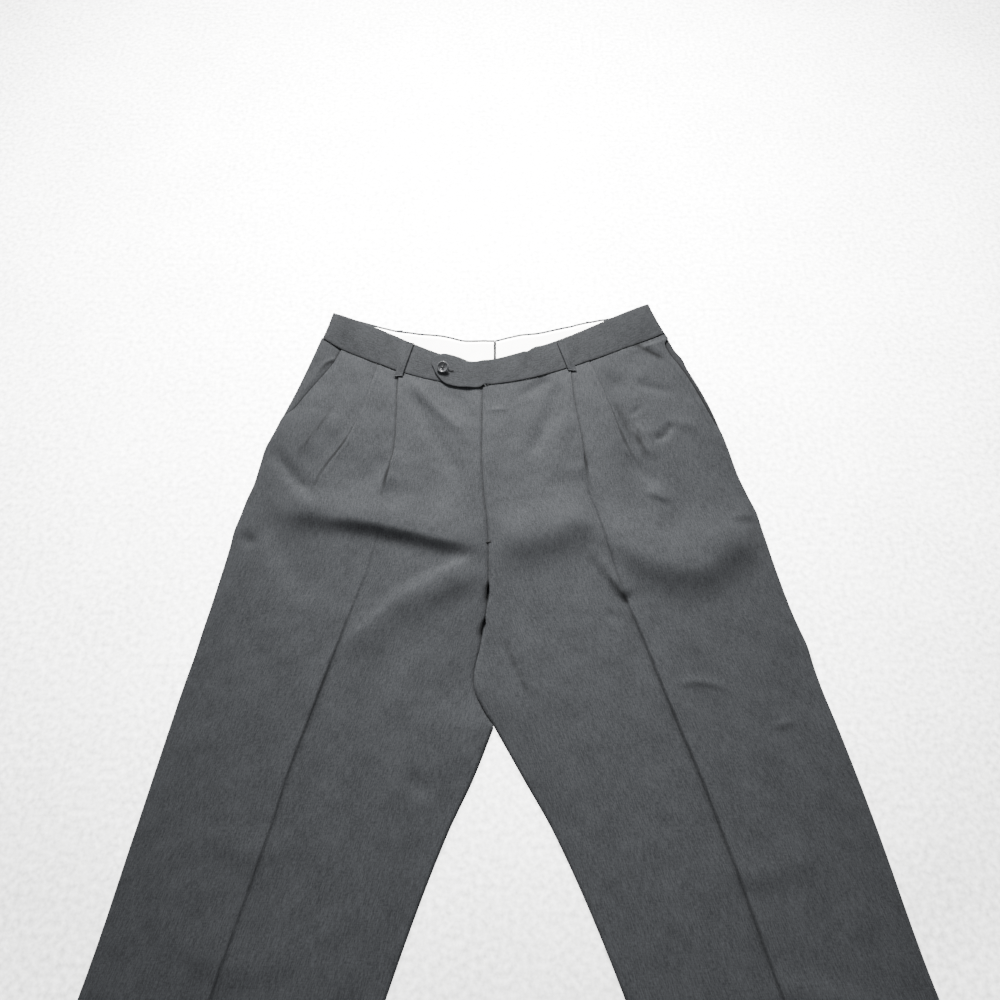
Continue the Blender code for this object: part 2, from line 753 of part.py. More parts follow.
def make_button():
    """A four-hole button with a raised rim, its profile turned about its own axis."""
    points = []
    for inset, height in BUTTON_PROFILE:
        for step in range(BUTTON_SIDES):
            angle = 2 * math.pi * step / BUTTON_SIDES
            across = BUTTON_RADIUS - inset
            points.append((across * math.cos(angle), across * math.sin(angle), height))
    base, crown = len(points), len(points) + 1
    points.append((0.0, 0.0, 0.0))
    points.append((0.0, 0.0, BUTTON_PROFILE[-1][1]))
    last = (len(BUTTON_PROFILE) - 1) * BUTTON_SIDES
    faces = []
    for step in range(BUTTON_SIDES):
        after = (step + 1) % BUTTON_SIDES
        for ring in range(0, last, BUTTON_SIDES):
            a, b = ring + step, ring + after
            faces.append((a, b, b + BUTTON_SIDES, a + BUTTON_SIDES))
        faces.append((base, after, step))
        faces.append((crown, last + step, last + after))
    mesh = bpy.data.meshes.new("fly_button")
    mesh.from_pydata([[value * MM for value in point] for point in points], [], faces)
    face_outward(mesh)
    button = add_piece("fly_button", mesh, BUTTON_LOOK)
    across, along = BUTTON_PLACE
    band_top = band_front_height(SIDES["right"], across, BUTTON_BAND_SHARE)
    tab_top = band_top + TAB_LIFT + BAND_CLOTH / 2
    lean = BUTTON_RADIUS * math.sin(math.radians(BUTTON_TILT[0]))
    height = tab_top + BUTTON_STAND_OFF + lean
    button.location = [value * MM for value in (across, along, height)]
    button.rotation_euler = [math.radians(BUTTON_TILT[0]), math.radians(BUTTON_TILT[1]), 0.0]
    for corner in range(4):
        cut_hole(button, corner)
    return button


# --- Assembly --------------------------------------------------------------------------------


def move_to_origin(pieces):
    """Moves all pieces so that the origin is the middle of the underside's bounding box."""
    bpy.context.view_layer.update()
    corners = [piece.matrix_world @ vertex.co for piece in pieces for vertex in piece.data.vertices]
    lows = [min(corner[axis] for corner in corners) for axis in range(3)]
    highs = [max(corner[axis] for corner in corners) for axis in range(3)]
    shift = ((lows[0] + highs[0]) / 2, (lows[1] + highs[1]) / 2, lows[2])
    for piece in pieces:
        for axis in range(3):
            piece.location[axis] -= shift[axis]


def build():
    for piece in list(bpy.data.objects):
        bpy.data.objects.remove(piece, do_unlink=True)
    for side in SIDES.values():
        make_back(side)
        make_front(side)
        make_facing(side)
        make_waistband(side)
        make_lining(side)
        make_front_loop(side)
    for place in BACK_LOOPS:
        make_back_loop(place)
    make_button()
    move_to_origin([piece for piece in bpy.data.objects if not piece.hide_render])


build()
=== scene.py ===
import math
from collections import namedtuple

import bpy
import numpy as np
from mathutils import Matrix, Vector


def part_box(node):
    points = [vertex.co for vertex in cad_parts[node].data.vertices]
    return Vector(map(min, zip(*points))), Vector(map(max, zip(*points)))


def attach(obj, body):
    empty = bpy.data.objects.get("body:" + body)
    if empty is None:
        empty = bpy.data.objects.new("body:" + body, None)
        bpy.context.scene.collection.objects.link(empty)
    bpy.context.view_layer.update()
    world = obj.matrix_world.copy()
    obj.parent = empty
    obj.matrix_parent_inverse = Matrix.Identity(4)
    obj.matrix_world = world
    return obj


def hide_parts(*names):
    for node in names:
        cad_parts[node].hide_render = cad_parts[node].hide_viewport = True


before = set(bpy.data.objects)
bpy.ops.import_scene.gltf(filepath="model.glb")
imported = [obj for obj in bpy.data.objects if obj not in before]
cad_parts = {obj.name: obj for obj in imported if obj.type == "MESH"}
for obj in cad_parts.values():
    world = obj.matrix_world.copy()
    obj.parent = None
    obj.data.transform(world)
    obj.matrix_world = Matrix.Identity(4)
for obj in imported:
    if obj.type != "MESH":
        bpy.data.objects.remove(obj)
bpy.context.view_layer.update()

# Looks for pleated dress trousers lying flat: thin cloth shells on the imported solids' form, with
# their pleats, pressed creases and folds, worsted, lining and button finishes, and the studio.
#
# Sizes are millimetres in the cutting frame of the garment: X to the wearer's left, Y up the
# garment, Z up. "right" and "left" are the wearer's. to_frame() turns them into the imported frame.

MM = 0.001

# --- Cloth -----------------------------------------------------------------------------------

CLOTH = 0.7
BAND_CLOTH = 1.3
LINING_CLOTH = 0.5
LOOP_CLOTH = 1.1
SEAM_GAP = 0.25
BACK_HEIGHT = 0.4          # heights of the middle of a wall
LAID_HEIGHT = 1.3
FACING_HEIGHT = 1.5
POCKET_EDGE_HEIGHT = 3.0
BAND_BACK_HEIGHT = 1.0

# --- Waist -----------------------------------------------------------------------------------

TOP_LEVEL = 640.0          # the waist seam at the sides
DIP_END_LEVEL = 330.0      # below this level the sections are straight
BAND_WIDTH = 38.0
BAND_TURN_RADIUS = 1.2
BAND_LIFT = 0.5            # of the waistband over the front's own height at the seam
BAND_OPEN_HEIGHT = 15.2
BAND_SIDE_REACH = 70.0
CENTRE_FRONT = -20.0
FRONT_TOP_CENTRE = -36.0   # the lowest point of the waistband's top edge
CENTRE_BACK = -6.5
CENTRE_BACK_GAP = 1.6      # half the seam that shows between the two linings
FRONT_SEAM_AT_CENTRE = 562.5
FRONT_TOP_AT_CENTRE = 595.0
BACK_TOP_AT_CENTRE = 639.0
BACK_TOP_WANDER = [(-140, -3.0, 26), (-76, 2.5, 18), (-46, -2.0, 12), (26, 3.5, 20), (140, -4.0, 30)]
LINING_STEP_DOWN = 4.3
BACK_LOOP_LOW = 3.0        # from the back's waist seam up to a back belt loop
CENTRE_LOOP_FOOT = 601.0
SEAM_TUCK = 1.5            # a piece's top row runs this far under the waistband
SEAM_SINK = 0.5
UNDER_BAND = (0.5, 0.15, -0.2, -0.8)   # how far a front's first rows lie below the band's middle

# --- Legs ------------------------------------------------------------------------------------

FORK_LEVEL = 285.0
PARTING_LEVEL = 150.0
HEM_LEVEL = -430.0
TILT_START_LEVEL = 50.0
PROFILE_POWER = 2.8

Side = namedtuple("Side", "name inward seam_rise seam_reach seam_power corner_low corner_high"
                  " band_rise band_power back_power hem_slope")
SIDES = {
    "right": Side("right", 1, 78.5, 209, 2.0, -229.0, -219.0, 88, 1.24, 1.7, 0.29),
    "left": Side("left", -1, 86, 232, 1.55, 213.6, 196.0, 102, 1.45, 1.2, 0.33),
}

Section = namedtuple("Section", "level outer crease inner crest inner_height")
SECTIONS = {
    "right": [
        Section(640, -229, -126, -20.0, 12.0, 13.0),
        Section(600, -240, -126, -20.0, 13.0, 13.5),
        Section(560, -252, -125, -20.0, 14.0, 14.0),
        Section(500, -272, -125, -20.0, 14.5, 14.0),
        Section(440, -287, -133, -17.0, 14.0, 13.0),
        Section(380, -299, -138, -12.5, 13.5, 11.5),
        Section(320, -308, -148, -11.5, 13.0, 9.0),
        Section(280, -314, -160, -13.0, 13.0, 6.0),
        Section(240, -320, -172, -19.0, 12.5, 3.4),
        Section(192, -329, -186, -26.0, 12.0, 2.1),
        Section(150, -336, -198, -6.0, 11.5, 2.1),
        Section(100, -344, -212, -26.0, 11.0, 2.1),
        Section(50, -352, -223, -50.0, 10.5, 2.1),
        Section(-80, -374, -258, -104.0, 10.5, 2.1),
        Section(-270, -419, -308, -176.0, 10.0, 2.1),
        Section(-430, -457, -349, -240.0, 10.0, 2.1),
    ],
    "left": [
        Section(640, 212, 88, -20.0, 12.0, 13.0),
        Section(600, 231, 89, -20.0, 13.0, 13.5),
        Section(560, 249, 92, -20.0, 14.0, 14.0),
        Section(500, 266, 98, -20.0, 14.5, 14.0),
        Section(440, 280, 102, -17.0, 14.0, 13.0),
        Section(380, 296, 116, -12.5, 13.5, 11.5),
        Section(320, 307, 129, -11.5, 13.0, 9.0),
        Section(280, 315, 140, -13.0, 13.0, 6.0),
        Section(240, 325, 154, -19.0, 12.5, 3.4),
        Section(192, 334, 169, -26.0, 12.0, 2.1),
        Section(150, 344, 183, -6.0, 11.5, 2.1),
        Section(100, 355, 200, 23.0, 11.0, 2.1),
        Section(50, 365, 215, 52.0, 10.5, 2.1),
        Section(-80, 389, 253, 115.0, 10.5, 2.1),
        Section(-270, 439, 317, 195.0, 10.0, 2.1),
        Section(-430, 483, 375, 265.0, 10.0, 2.1),
    ],
}

# The cloth rolls out past the cut outline, a little more where a fold reaches it
OUTLINE_EASE = 2.2
OUTLINE_KINKS = {
    "right": [(478, 2.4, 16), (430, -1.8, 16), (370, 1.4, 14), (250, 0.8, 20)],
    "left": [(618, -1.6, 12), (602, 2.0, 8), (572, -2.6, 36), (392, 1.6, 14), (440, -0.8, 16),
             (235, 1.2, 14)],
}

SECOND_PLEAT = {
    "right": [(640, -153), (560, -166), (500, -183), (440, -210), (380, -226), (-430, -403)],
    "left": [(640, 112), (580, 127), (520, 141), (480, 152), (420, 178), (-430, 430)],
}

# A pleat is folded down to its end level; its lifted edge then dies away over the fade
Pleat = namedtuple("Pleat", "end fade lift")
PLEATS = {
    ("right", "main"): Pleat(455.0, 30.0, 3.8),
    ("right", "second"): Pleat(500.0, 95.0, 3.2),
    ("left", "main"): Pleat(468.0, 26.0, 3.4),
    ("left", "second"): Pleat(505.0, 60.0, 3.8),
}
PLEAT_DEPTH = 9.0
PLEAT_DEPTH_END = 1.0
PLEAT_TAPER = 0.7
PLEAT_EASE = 62.0          # the lift dies away over this width, towards centre front
PLEAT_EASE_POWER = 1.6
PLEAT_REACH = 4.0          # half the width that a pleat's steps take up once open
PLEAT_CLEAR = 4.4          # the outer cloth stops this far before the pleat's place
PLEAT_OPENING = 24.0       # a pleat opens from folded to a soft step over this length
PLEAT_PRESSED = 0.36       # share of its lift that a pleat has where the waist seam holds it
PLEAT_SWELL = 45.0

# Across a pleat, from the outer cloth to the top layer: the share of the hidden turn and the
# gap in mm while folded, the gap once open, the share of the pleat's lift, and the share of
# the pleat's painted shade at its root
PleatStep = namedtuple("PleatStep", "turn folded opened lift shade")
PLEAT_STEPS = [
    PleatStep(0.0, -3.4, -4.0, 0.0, 0.15),
    PleatStep(0.0, -1.2, -3.1, -0.03, 0.8),
    PleatStep(0.5, 0.0, -2.3, -0.04, 1.0),
    PleatStep(0.95, -0.3, -1.6, 0.02, 1.0),
    PleatStep(1.0, 0.0, -1.1, 0.24, 1.0),
    PleatStep(0.95, -0.3, -0.6, 0.44, 1.0),
    PleatStep(0.5, 0.0, -0.1, 0.5, 1.0),
    PleatStep(0.0, 0.3, 0.4, 0.54, 0.6),
    PleatStep(0.0, -0.1, 0.9, 0.74, 0.2),
    PleatStep(0.0, 0.3, 1.5, 0.93, 0.0),
    PleatStep(0.0, 1.6, 2.4, 1.0, 0.0),
    PleatStep(0.0, 3.6, 4.0, 1.0, 0.0),
]
# How much painted shade darkens the root of each pleat, by level
PLEAT_SHADE = {
    ("right", "main"): [(640, 0.8), (560, 0.7), (500, 0.9), (455, 1.0), (430, 0.3), (405, 0.0)],
    ("right", "second"): [(640, 0.35), (560, 0.2), (520, 0.5), (480, 0.9), (440, 0.5), (405, 0.0)],
    ("left", "main"): [(640, 0.5), (560, 0.5), (500, 0.6), (475, 0.9), (455, 0.5), (420, 0.1), (380, 0.0)],
    ("left", "second"): [(640, 0.2), (570, 0.5), (530, 0.8), (490, 0.6), (450, 0.1), (430, 0.0)],
}

# The pressed crease below the main pleat: how far it stands up, by level
CREASE_RISE = {
    "right": [(455, 0.0), (380, 0.4), (330, 1.0), (270, 1.3), (215, 2.0), (150, 2.3), (-430, 2.2)],
    "left": [(468, 0.8), (440, 2.0), (380, 2.2), (330, 1.7), (280, 1.4), (240, 2.0), (150, 2.3),
             (-430, 2.2)],
}
CREASE_OUTER_REACH = 10.0
CREASE_INNER_REACH = 2.0
CREASE_FOOT = 2.3          # from the crease to the line of painted shade at its inner foot
CREASE_FOOT_REACH = 1.7
# How much painted shade darkens the crease's inner foot, by level
CREASE_SHADE = {
    "right": [(455, 0.0), (300, 0.08), (235, 0.4), (190, 0.7), (140, 0.4), (80, 0.18), (-430, 0.15)],
    "left": [(468, 0.1), (400, 0.1), (330, 0.2), (260, 0.5), (190, 0.6), (120, 0.6), (50, 0.55),
             (-430, 0.4)],
}

# The slant pocket's edge as (along, across), its lower end, and how far its mouth gapes at the top
Pocket = namedtuple("Pocket", "edge low gape")
POCKETS = {
    "right": Pocket([(645, -197), (617, -205), (599, -212.5), (560, -238), (519, -262)], 519.0, 1.6),
    "left": Pocket([(650, 222), (640, 217), (631, 212), (615, 217), (600, 226), (574, 239), (530, 256),
                    (492, 270)], 492.0, 1.2),
}
FACING_UNDERLAP = 14.0
FACING_END = 6.0
POCKET_SETTLE = 70.0
POCKET_MEET = 16.0         # the pocket edge runs into the side seam over this length
GAPE_START_LEVEL = 560.0
GAPE_LENGTH = 60.0

# Folds of the fronts. Each is a ridge (or a trough, where its rise is negative) along a smooth
# route. left and right are its reach on either side, seen along the route; the fades are shares
# of the route at its two ends.
Fold = namedtuple("Fold", "route rise left right fade_in fade_out")
FOLDS = {
    "right": [
        Fold([(-270, 402), (-226, 388), (-170, 380), (-110, 369)], 6.5, 32, 16, .35, .5),
        Fold([(-222, 382), (-160, 376), (-110, 366), (-60, 353), (-4, 344)], 8.2, 40, 11, .5, .3),
        Fold([(-12, 338), (-60, 314), (-104, 287), (-140, 256), (-178, 219)], 4.2, 22, 8.5, .25, .25),
        Fold([(-12, 322), (-60, 296), (-116, 256)], 2.6, 14, 20, .3, .5),
        Fold([(-278, 486), (-248, 442), (-214, 408)], -3.6, 9, 7, .4, .25),
        Fold([(-250, 425), (-222, 396), (-190, 388)], 1.6, 10, 12, .4, .4),
        Fold([(-272, 414), (-250, 356), (-220, 306), (-180, 270)], -3.6, 24, 15, .3, .4),
        Fold([(-304, 366), (-270, 349)], -2.4, 7, 8, .3, .5),
        Fold([(-115, 574), (-89, 539), (-46, 494), (-22, 460)], 2.4, 8, 7, .2, .5),
        Fold([(-117, 562), (-95, 516), (-73, 478), (-50, 435), (-34, 396)], -3.0, 12, 11, .2, .4),
        Fold([(-70, 560), (-46, 530), (-26, 505)], -1.4, 8, 9, .3, .4),
        Fold([(-127, 470), (-131, 447), (-138, 425), (-148, 404)], 2.2, 26, 2.8, .3, .5),
        Fold([(-142, 470), (-150, 440), (-166, 414)], -1.6, 12, 9, .4, .4),
        Fold([(-201, 541), (-211, 515), (-223, 494), (-243, 461)], 2.4, 17, 2.8, .4, .35),
        Fold([(-165, 560), (-176, 520), (-196, 480), (-214, 452)], -1.8, 7, 9, .4, .3),
        Fold([(-296, 270), (-308, 197), (-316, 130)], -2.6, 10, 9, .3, .4),
        Fold([(-97, 102), (-62, 84)], -1.3, 9, 9, .4, .4),
        Fold([(-84, 40), (-62, 28)], -1.2, 5, 5, .4, .4),
        Fold([(-150, 330), (-120, 250), (-100, 150)], -1.0, 16, 16, .4, .4),
        Fold([(-60, 250), (-96, 200), (-120, 140)], 0.9, 14, 14, .4, .4),
        Fold([(-300, 60), (-240, 30), (-170, 44)], 1.6, 16, 9, .4, .4),
        Fold([(-160, -40), (-230, -66), (-320, -30)], 2.0, 10, 18, .4, .4),
        Fold([(-330, -180), (-260, -205), (-190, -170)], 1.5, 16, 10, .4, .4),
    ],
    "left": [
        Fold([(-14, 348), (40, 356), (84, 374), (124, 386)], 8.6, 34, 25, .3, .3),
        Fold([(108, 332), (122, 308), (138, 282)], 3.6, 13, 3.6, .6, .2),
        Fold([(96, 346), (110, 330), (120, 312)], 1.6, 7, 5, .4, .4),
        Fold([(114, 396), (134, 360), (158, 334), (190, 321), (222, 322), (250, 341), (274, 366),
              (296, 396)], 9.6, 40, 25, .3, .25),
        Fold([(258, 380), (296, 392)], 2.0, 9, 5, .4, .2),
        Fold([(-16, 526), (14, 527)], 0.9, 2.5, 2.5, .3, .4),
        Fold([(77, 572), (57, 508), (24, 438)], -3.4, 10, 11, .2, .4),
        Fold([(66, 577), (40, 556), (10, 538)], -2.4, 8, 8, .3, .5),
        Fold([(88, 540), (74, 480), (58, 420)], 1.6, 10, 10, .3, .4),
        Fold([(134, 592), (147, 540), (158, 503), (168, 466)], -4.4, 15, 7, .25, .35),
        Fold([(168, 638), (189, 625), (212, 614)], 2.2, 9, 3.2, .25, .2),
        Fold([(164, 512), (169, 480), (182, 452)], 2.2, 14, 2.8, .3, .3),
        Fold([(172, 533), (160, 518)], -1.8, 4, 4, .3, .3),
        Fold([(210, 511), (196, 491), (182, 481)], -3.0, 4.5, 5, .25, .35),
        Fold([(164, 572), (188, 560), (226, 556)], -2.2, 7, 9, .3, .4),
        Fold([(164, 420), (183, 409), (203, 402)], 2.4, 10, 5, .4, .4),
        Fold([(200, 514), (222, 508), (250, 505)], 1.8, 8, 8, .4, .4),
        Fold([(150, 470), (168, 440), (196, 424)], -1.6, 9, 9, .4, .4),
        Fold([(110, 272), (136, 256)], -1.2, 6, 6, .4, .4),
        Fold([(179, 188), (200, 194), (222, 191), (246, 180)], 1.3, 5, 3, .3, .5),
        Fold([(276, 148), (302, 157)], 1.2, 3.5, 3.5, .3, .3),
        Fold([(4, 246), (20, 204), (40, 162)], -1.2, 2.5, 2.5, .2, .3),
        Fold([(300, 250), (318, 190), (330, 130)], -2.2, 12, 10, .3, .4),
        Fold([(96, 140), (112, 70), (126, 0)], 0.9, 8, 8, .4, .4),
        Fold([(170, 34), (240, 10), (330, 40)], 1.7, 16, 9, .4, .4),
        Fold([(200, -96), (270, -80), (360, -110)], 1.9, 9, 17, .4, .4),
        Fold([(250, -230), (320, -250), (390, -214)], 1.4, 15, 10, .4, .4),
    ],
}

# Painted shade: dark lines painted where the cloth is pinched; the rise is how dark each is
PAINTED_SHADE_LINES = {
    "right": [
        Fold([(-201, 541), (-211, 515), (-223, 494), (-243, 461)], 0.6, 2, 4, .3, .3),
        Fold([(-190, 372), (-136, 360), (-62, 344)], 0.2, 5, 10, .4, .5),
    ],
    "left": [
        Fold([(110, 327), (123, 304), (139, 279)], 0.9, 1.8, 3, .75, .06),
        Fold([(133, 552), (146, 516), (158, 483), (166, 462)], 0.55, 10, 2.2, .35, .3),
        Fold([(162, 510), (166, 484), (173, 455)], 0.75, 3.6, 1.8, .35, .2),
        Fold([(206, 507), (196, 491), (183, 483)], 0.5, 2, 2, .3, .3),
        Fold([(3, 245), (20, 203.5), (38, 168)], 0.5, 2.0, 2.0, .2, .3),
        Fold([(167, 633), (188, 619), (211, 607)], 1.0, 2.0, 4.2, .15, .2),
        Fold([(205, 617), (231, 572), (249, 527), (260, 497)], 0.3, 1.2, 1.2, .1, .1),
    ],
}

# The facings gape at the top of the pocket's mouth; the creases, painted as lines of shade, mark where the
# gape goes in
FACING_FOLDS = {
    "right": Fold([(-200, 612), (-222, 603), (-238, 574), (-250, 550)], 1.5, 5, 2.5, .2, .4),
    "left": Fold([(172, 627), (192, 613), (216, 600), (232, 575)], 1.0, 5, 3, .2, .4),
}
FACING_PAINTED_CREASES = {
    "right": Fold([(-202, 609), (-220, 601), (-229, 584)], 0.9, 1.5, 1.5, .2, .6),
    "left": Fold([(196, 622), (215, 600), (232, 575)], 0.4, 2, 2, .2, .6),
}
# How much painted shade darkens each facing all over
FACING_SHADE = {"right": 0.08, "left": 0.42}
FOLD_OUTER_FADE = 20.0
FOLD_INNER_FADE = 10.0

# The backs lie on the surface; the seat and the knees carry soft low folds
BACK_FOLDS = {
    "right": [
        Fold([(-240, 470), (-150, 420), (-40, 400)], 1.6, 26, 16, .3, .3),
        Fold([(-30, 330), (-110, 280), (-200, 210)], 1.8, 18, 24, .3, .3),
        Fold([(-310, 60), (-240, 20), (-150, 50)], 1.2, 18, 12, .3, .3),
    ],
    "left": [
        Fold([(30, 400), (130, 430), (240, 470)], 1.6, 26, 16, .3, .3),
        Fold([(30, 330), (110, 290), (210, 230)], 1.8, 18, 24, .3, .3),
        Fold([(170, 20), (250, 0), (340, 40)], 1.2, 18, 12, .3, .3),
    ],
}

# --- Extension tab, belt loops and button ------------------------------------------------------

TAB_LOW = [(-85.5, 592), (-84.6, 589.5), (-83, 586), (-80, 578.5), (-75, 571), (-69, 564.7), (-61, 560.8),
           (-48, 558.2), (-30, 557.4), (-23, 558.8), (-19, 562), (-9, 563.3)]
TAB_HIGH = [(-85.5, 596.5), (-84.6, 599), (-82.6, 601.5), (-79, 605), (-69, 607), (-50, 601), (-38, 595),
            (-20, 597.4), (-9, 599.8)]
TAB_LIFT = 1.8
TAB_BUCKLE = 0.75
TAB_STATIONS = 44

FrontLoop = namedtuple("FrontLoop", "top bottom")
FRONT_LOOPS = {
    "right": FrontLoop((-114.0, 623.5), (-126.5, 574.5)),
    "left": FrontLoop((77.0, 625.5), (90.5, 583.0)),
}
LOOP_WIDTH = 10.5
LOOP_STAND_OFF = 0.9
LOOP_OVER_PLEAT = 0.2
BACK_LOOP_WIDTH = 11.0
BACK_LOOP_MARGIN = 7.0
BACK_LOOP_RAMP = 14.0
BACK_LOOP_RISE = 1.3
BACK_LOOPS = {"right": -132.0, "centre": CENTRE_BACK, "left": 118.0}
BUTTON_TILT = (24.0, -10.0)
BUTTON_SHIFT = np.array([0.0, 1.0, -1.6])

# Where the garment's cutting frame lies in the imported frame: the centre back loop's foot
LOOP_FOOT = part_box("back_loop_centre")[0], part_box("back_loop_centre")[1]
ORIGIN = np.array([
    CENTRE_BACK - (LOOP_FOOT[0].x + LOOP_FOOT[1].x) / 2 / MM,
    CENTRE_LOOP_FOOT - LOOP_FOOT[0].y / MM,
])

# --- Small maths -------------------------------------------------------------------------------


def to_frame(points):
    """Cutting-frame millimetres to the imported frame's metres."""
    moved = np.array(points, float)
    moved[..., :2] -= ORIGIN
    return moved * MM


def mix(start, end, share):
    return start + (end - start) * share


def smooth(share):
    share = np.clip(share, 0.0, 1.0)
    return share * share * (3 - 2 * share)


def bell(gap, reach):
    """1 at no gap, dying away smoothly over the reach."""
    return np.exp(-(gap / reach) ** 2)


def curve(points, places):
    """Reads a smooth curve through (place, value) points at many places."""
    knots = np.array(sorted((point[0], point[1]) for point in points), float)
    place, value = knots[:, 0], knots[:, 1]
    slopes = np.gradient(value)
    slopes[1:-1] = (value[2:] - value[:-2]) / (place[2:] - place[:-2])
    slopes[0] = (value[1] - value[0]) / (place[1] - place[0])
    slopes[-1] = (value[-1] - value[-2]) / (place[-1] - place[-2])
    where = np.clip(places, place[0], place[-1])
    index = np.clip(np.searchsorted(place, where, side="right") - 1, 0, len(place) - 2)
    span = place[index + 1] - place[index]
    share = (where - place[index]) / span
    rise = 3 * share ** 2 - 2 * share ** 3
    lead = share ** 3 - 2 * share ** 2 + share
    trail = share ** 3 - share ** 2
    bend = span * (lead * slopes[index] + trail * slopes[index + 1])
    return value[index] * (1 - rise) + value[index + 1] * rise + bend


def section(side, column, level):
    """A column of the side's sections; the inner edge turns sharply where the legs part."""
    points = [(row.level, getattr(row, column)) for row in SECTIONS[side.name]]
    if column == "outer":
        kinks = sum(rise * bell(level - place, reach)
                    for place, rise, reach in OUTLINE_KINKS[side.name])
        return curve(points, level) - side.inward * (OUTLINE_EASE + kinks)
    if column != "inner":
        return curve(points, level)
    above = curve([point for point in points if point[0] >= PARTING_LEVEL], level)
    below = curve([point for point in points if point[0] <= PARTING_LEVEL], level)
    return np.where(np.asarray(level) >= PARTING_LEVEL, above, below)


# --- Form of the trousers ----------------------------------------------------------------------


def front_seam(side, across):
    reach = np.clip(abs(across - CENTRE_FRONT) / side.seam_reach, 0, 1)
    return FRONT_SEAM_AT_CENTRE + side.seam_rise * reach ** side.seam_power


def front_top(side, across):
    width = abs(side.corner_high - FRONT_TOP_CENTRE)
    reach = np.clip(abs(across - FRONT_TOP_CENTRE) / width, 0, 1)
    return FRONT_TOP_AT_CENTRE + side.band_rise * reach ** side.band_power


def back_reach(side, across):
    return np.clip(abs(across - CENTRE_BACK) / abs(side.corner_high - CENTRE_BACK), 0, 1)


def back_top(side, across):
    corner = front_top(side, side.corner_high)
    return mix(BACK_TOP_AT_CENTRE, corner, back_reach(side, across) ** side.back_power)


def back_seam(side, across):
    side_width = front_top(side, side.corner_high) - front_seam(side, side.corner_low)
    return back_top(side, across) - mix(BAND_WIDTH, side_width, back_reach(side, across))


def section_along(side, level, across, seam):
    """Where a section of the given level lies along the garment at a place across it."""
    waist_share = np.clip((level - DIP_END_LEVEL) / (TOP_LEVEL - DIP_END_LEVEL), 0, 1)
    dip = (seam(side, across) - TOP_LEVEL) * waist_share
    turn = smooth((TILT_START_LEVEL - level) / (TILT_START_LEVEL - HEM_LEVEL))
    outer = section(side, "outer", level)
    return level + dip - abs(across - outer) * side.hem_slope * turn


def front_edge(side, level):
    """The front's outer edge: the outseam, or the slant pocket's edge above it."""
    outer = section(side, "outer", level)
    pocket = POCKETS[side.name]
    across = outer
    for _ in range(8):
        across = curve(pocket.edge, section_along(side, level, across, front_seam))
    mouth = np.maximum((across - outer) * side.inward, 0) * smooth((level - pocket.low) / POCKET_MEET)
    return outer + side.inward * mouth


def edge_height(side, level):
    pocket = POCKETS[side.name]
    share = smooth((level - pocket.low) / POCKET_SETTLE + 1)
    gape = pocket.gape * smooth((level - GAPE_START_LEVEL) / GAPE_LENGTH)
    return mix(LAID_HEIGHT, POCKET_EDGE_HEIGHT + gape, share)


def base_height(side, level, across):
    """Height of a front without its folds: it rises from both edges to the crease."""
    crease = section(side, "crease", level)
    outside = (across - crease) * side.inward < 0
    start = np.where(outside, front_edge(side, level), section(side, "inner", level))
    low = np.where(outside, edge_height(side, level), section(side, "inner_height", level))
    share = np.clip((across - start) / (crease - start), 0, 1)
    return low + (section(side, "crest", level) - low) * (1 - (1 - share) ** PROFILE_POWER)


def smooth_route(route, steps=10):
    """A smooth line of short runs through a route's points."""
    points = np.array(route, float)
    if len(points) == 2:
        return np.linspace(points[0], points[1], steps + 1)
    ends = 2 * points[0] - points[1], 2 * points[-1] - points[-2]
    padded = np.vstack([ends[0], points, ends[1]])
    share = np.linspace(0, 1, steps, endpoint=False)[:, None]
    line = []
    for a, b, c, d in zip(padded, padded[1:], padded[2:], padded[3:]):
        second = 2 * a - 5 * b + 4 * c - d
        third = 3 * b - a - 3 * c + d
        line.append(0.5 * (2 * b + (c - a) * share + second * share ** 2 + third * share ** 3))
    return np.vstack(line + [points[-1:]])


def fold_lift(fold, across, along):
    """What one fold adds to the height of each point."""
    line = smooth_route(fold.route)
    start, run = line[:-1], np.diff(line, axis=0)
    length = np.hypot(run[:, 0], run[:, 1])
    run = run / length[:, None]
    margin = 2.6 * max(fold.left, fold.right)
    low, high = line.min(axis=0) - margin, line.max(axis=0) + margin
    near = (across > low[0]) & (across < high[0]) & (along > low[1]) & (along < high[1])
    offset_x = across[near][:, None] - start[:, 0]
    offset_y = along[near][:, None] - start[:, 1]
    place = np.clip(offset_x * run[:, 0] + offset_y * run[:, 1], 0, length)
    gap_x, gap_y = offset_x - place * run[:, 0], offset_y - place * run[:, 1]
    nearest = np.hypot(gap_x, gap_y).argmin(axis=1)
    pick = np.arange(len(nearest)), nearest
    distance = np.hypot(gap_x[pick], gap_y[pick])
    on_left = run[nearest, 0] * gap_y[pick] - run[nearest, 1] * gap_x[pick] >= 0
    share = ((np.cumsum(length) - length)[nearest] + place[pick]) / length.sum()
    reach = np.where(on_left, fold.left, fold.right)
    ends = smooth(share / fold.fade_in) * smooth((1 - share) / fold.fade_out)
    lift = np.zeros_like(across)
    lift[near] = fold.rise * ends * bell(distance, reach)
    return lift


def cloth_unrest(across, along):
    """Faint unevenness of cloth that has been worn and laid down."""
    wave = np.sin(across / 17 + 2.1 * np.sin(along / 41)) * np.sin(along / 29 + across / 73)
    fine = np.sin(across / 7.3 + along / 19 + 1.7 * np.sin(along / 23)) * np.sin(along / 12.7)
    return 0.28 * wave + 0.09 * fine


def crease_lift(side, level, across):
    gap = (across - section(side, "crease", level)) * side.inward
    reach = np.where(gap < 0, CREASE_OUTER_REACH, CREASE_INNER_REACH)
    return curve(CREASE_RISE[side.name], level) * bell(gap, reach)


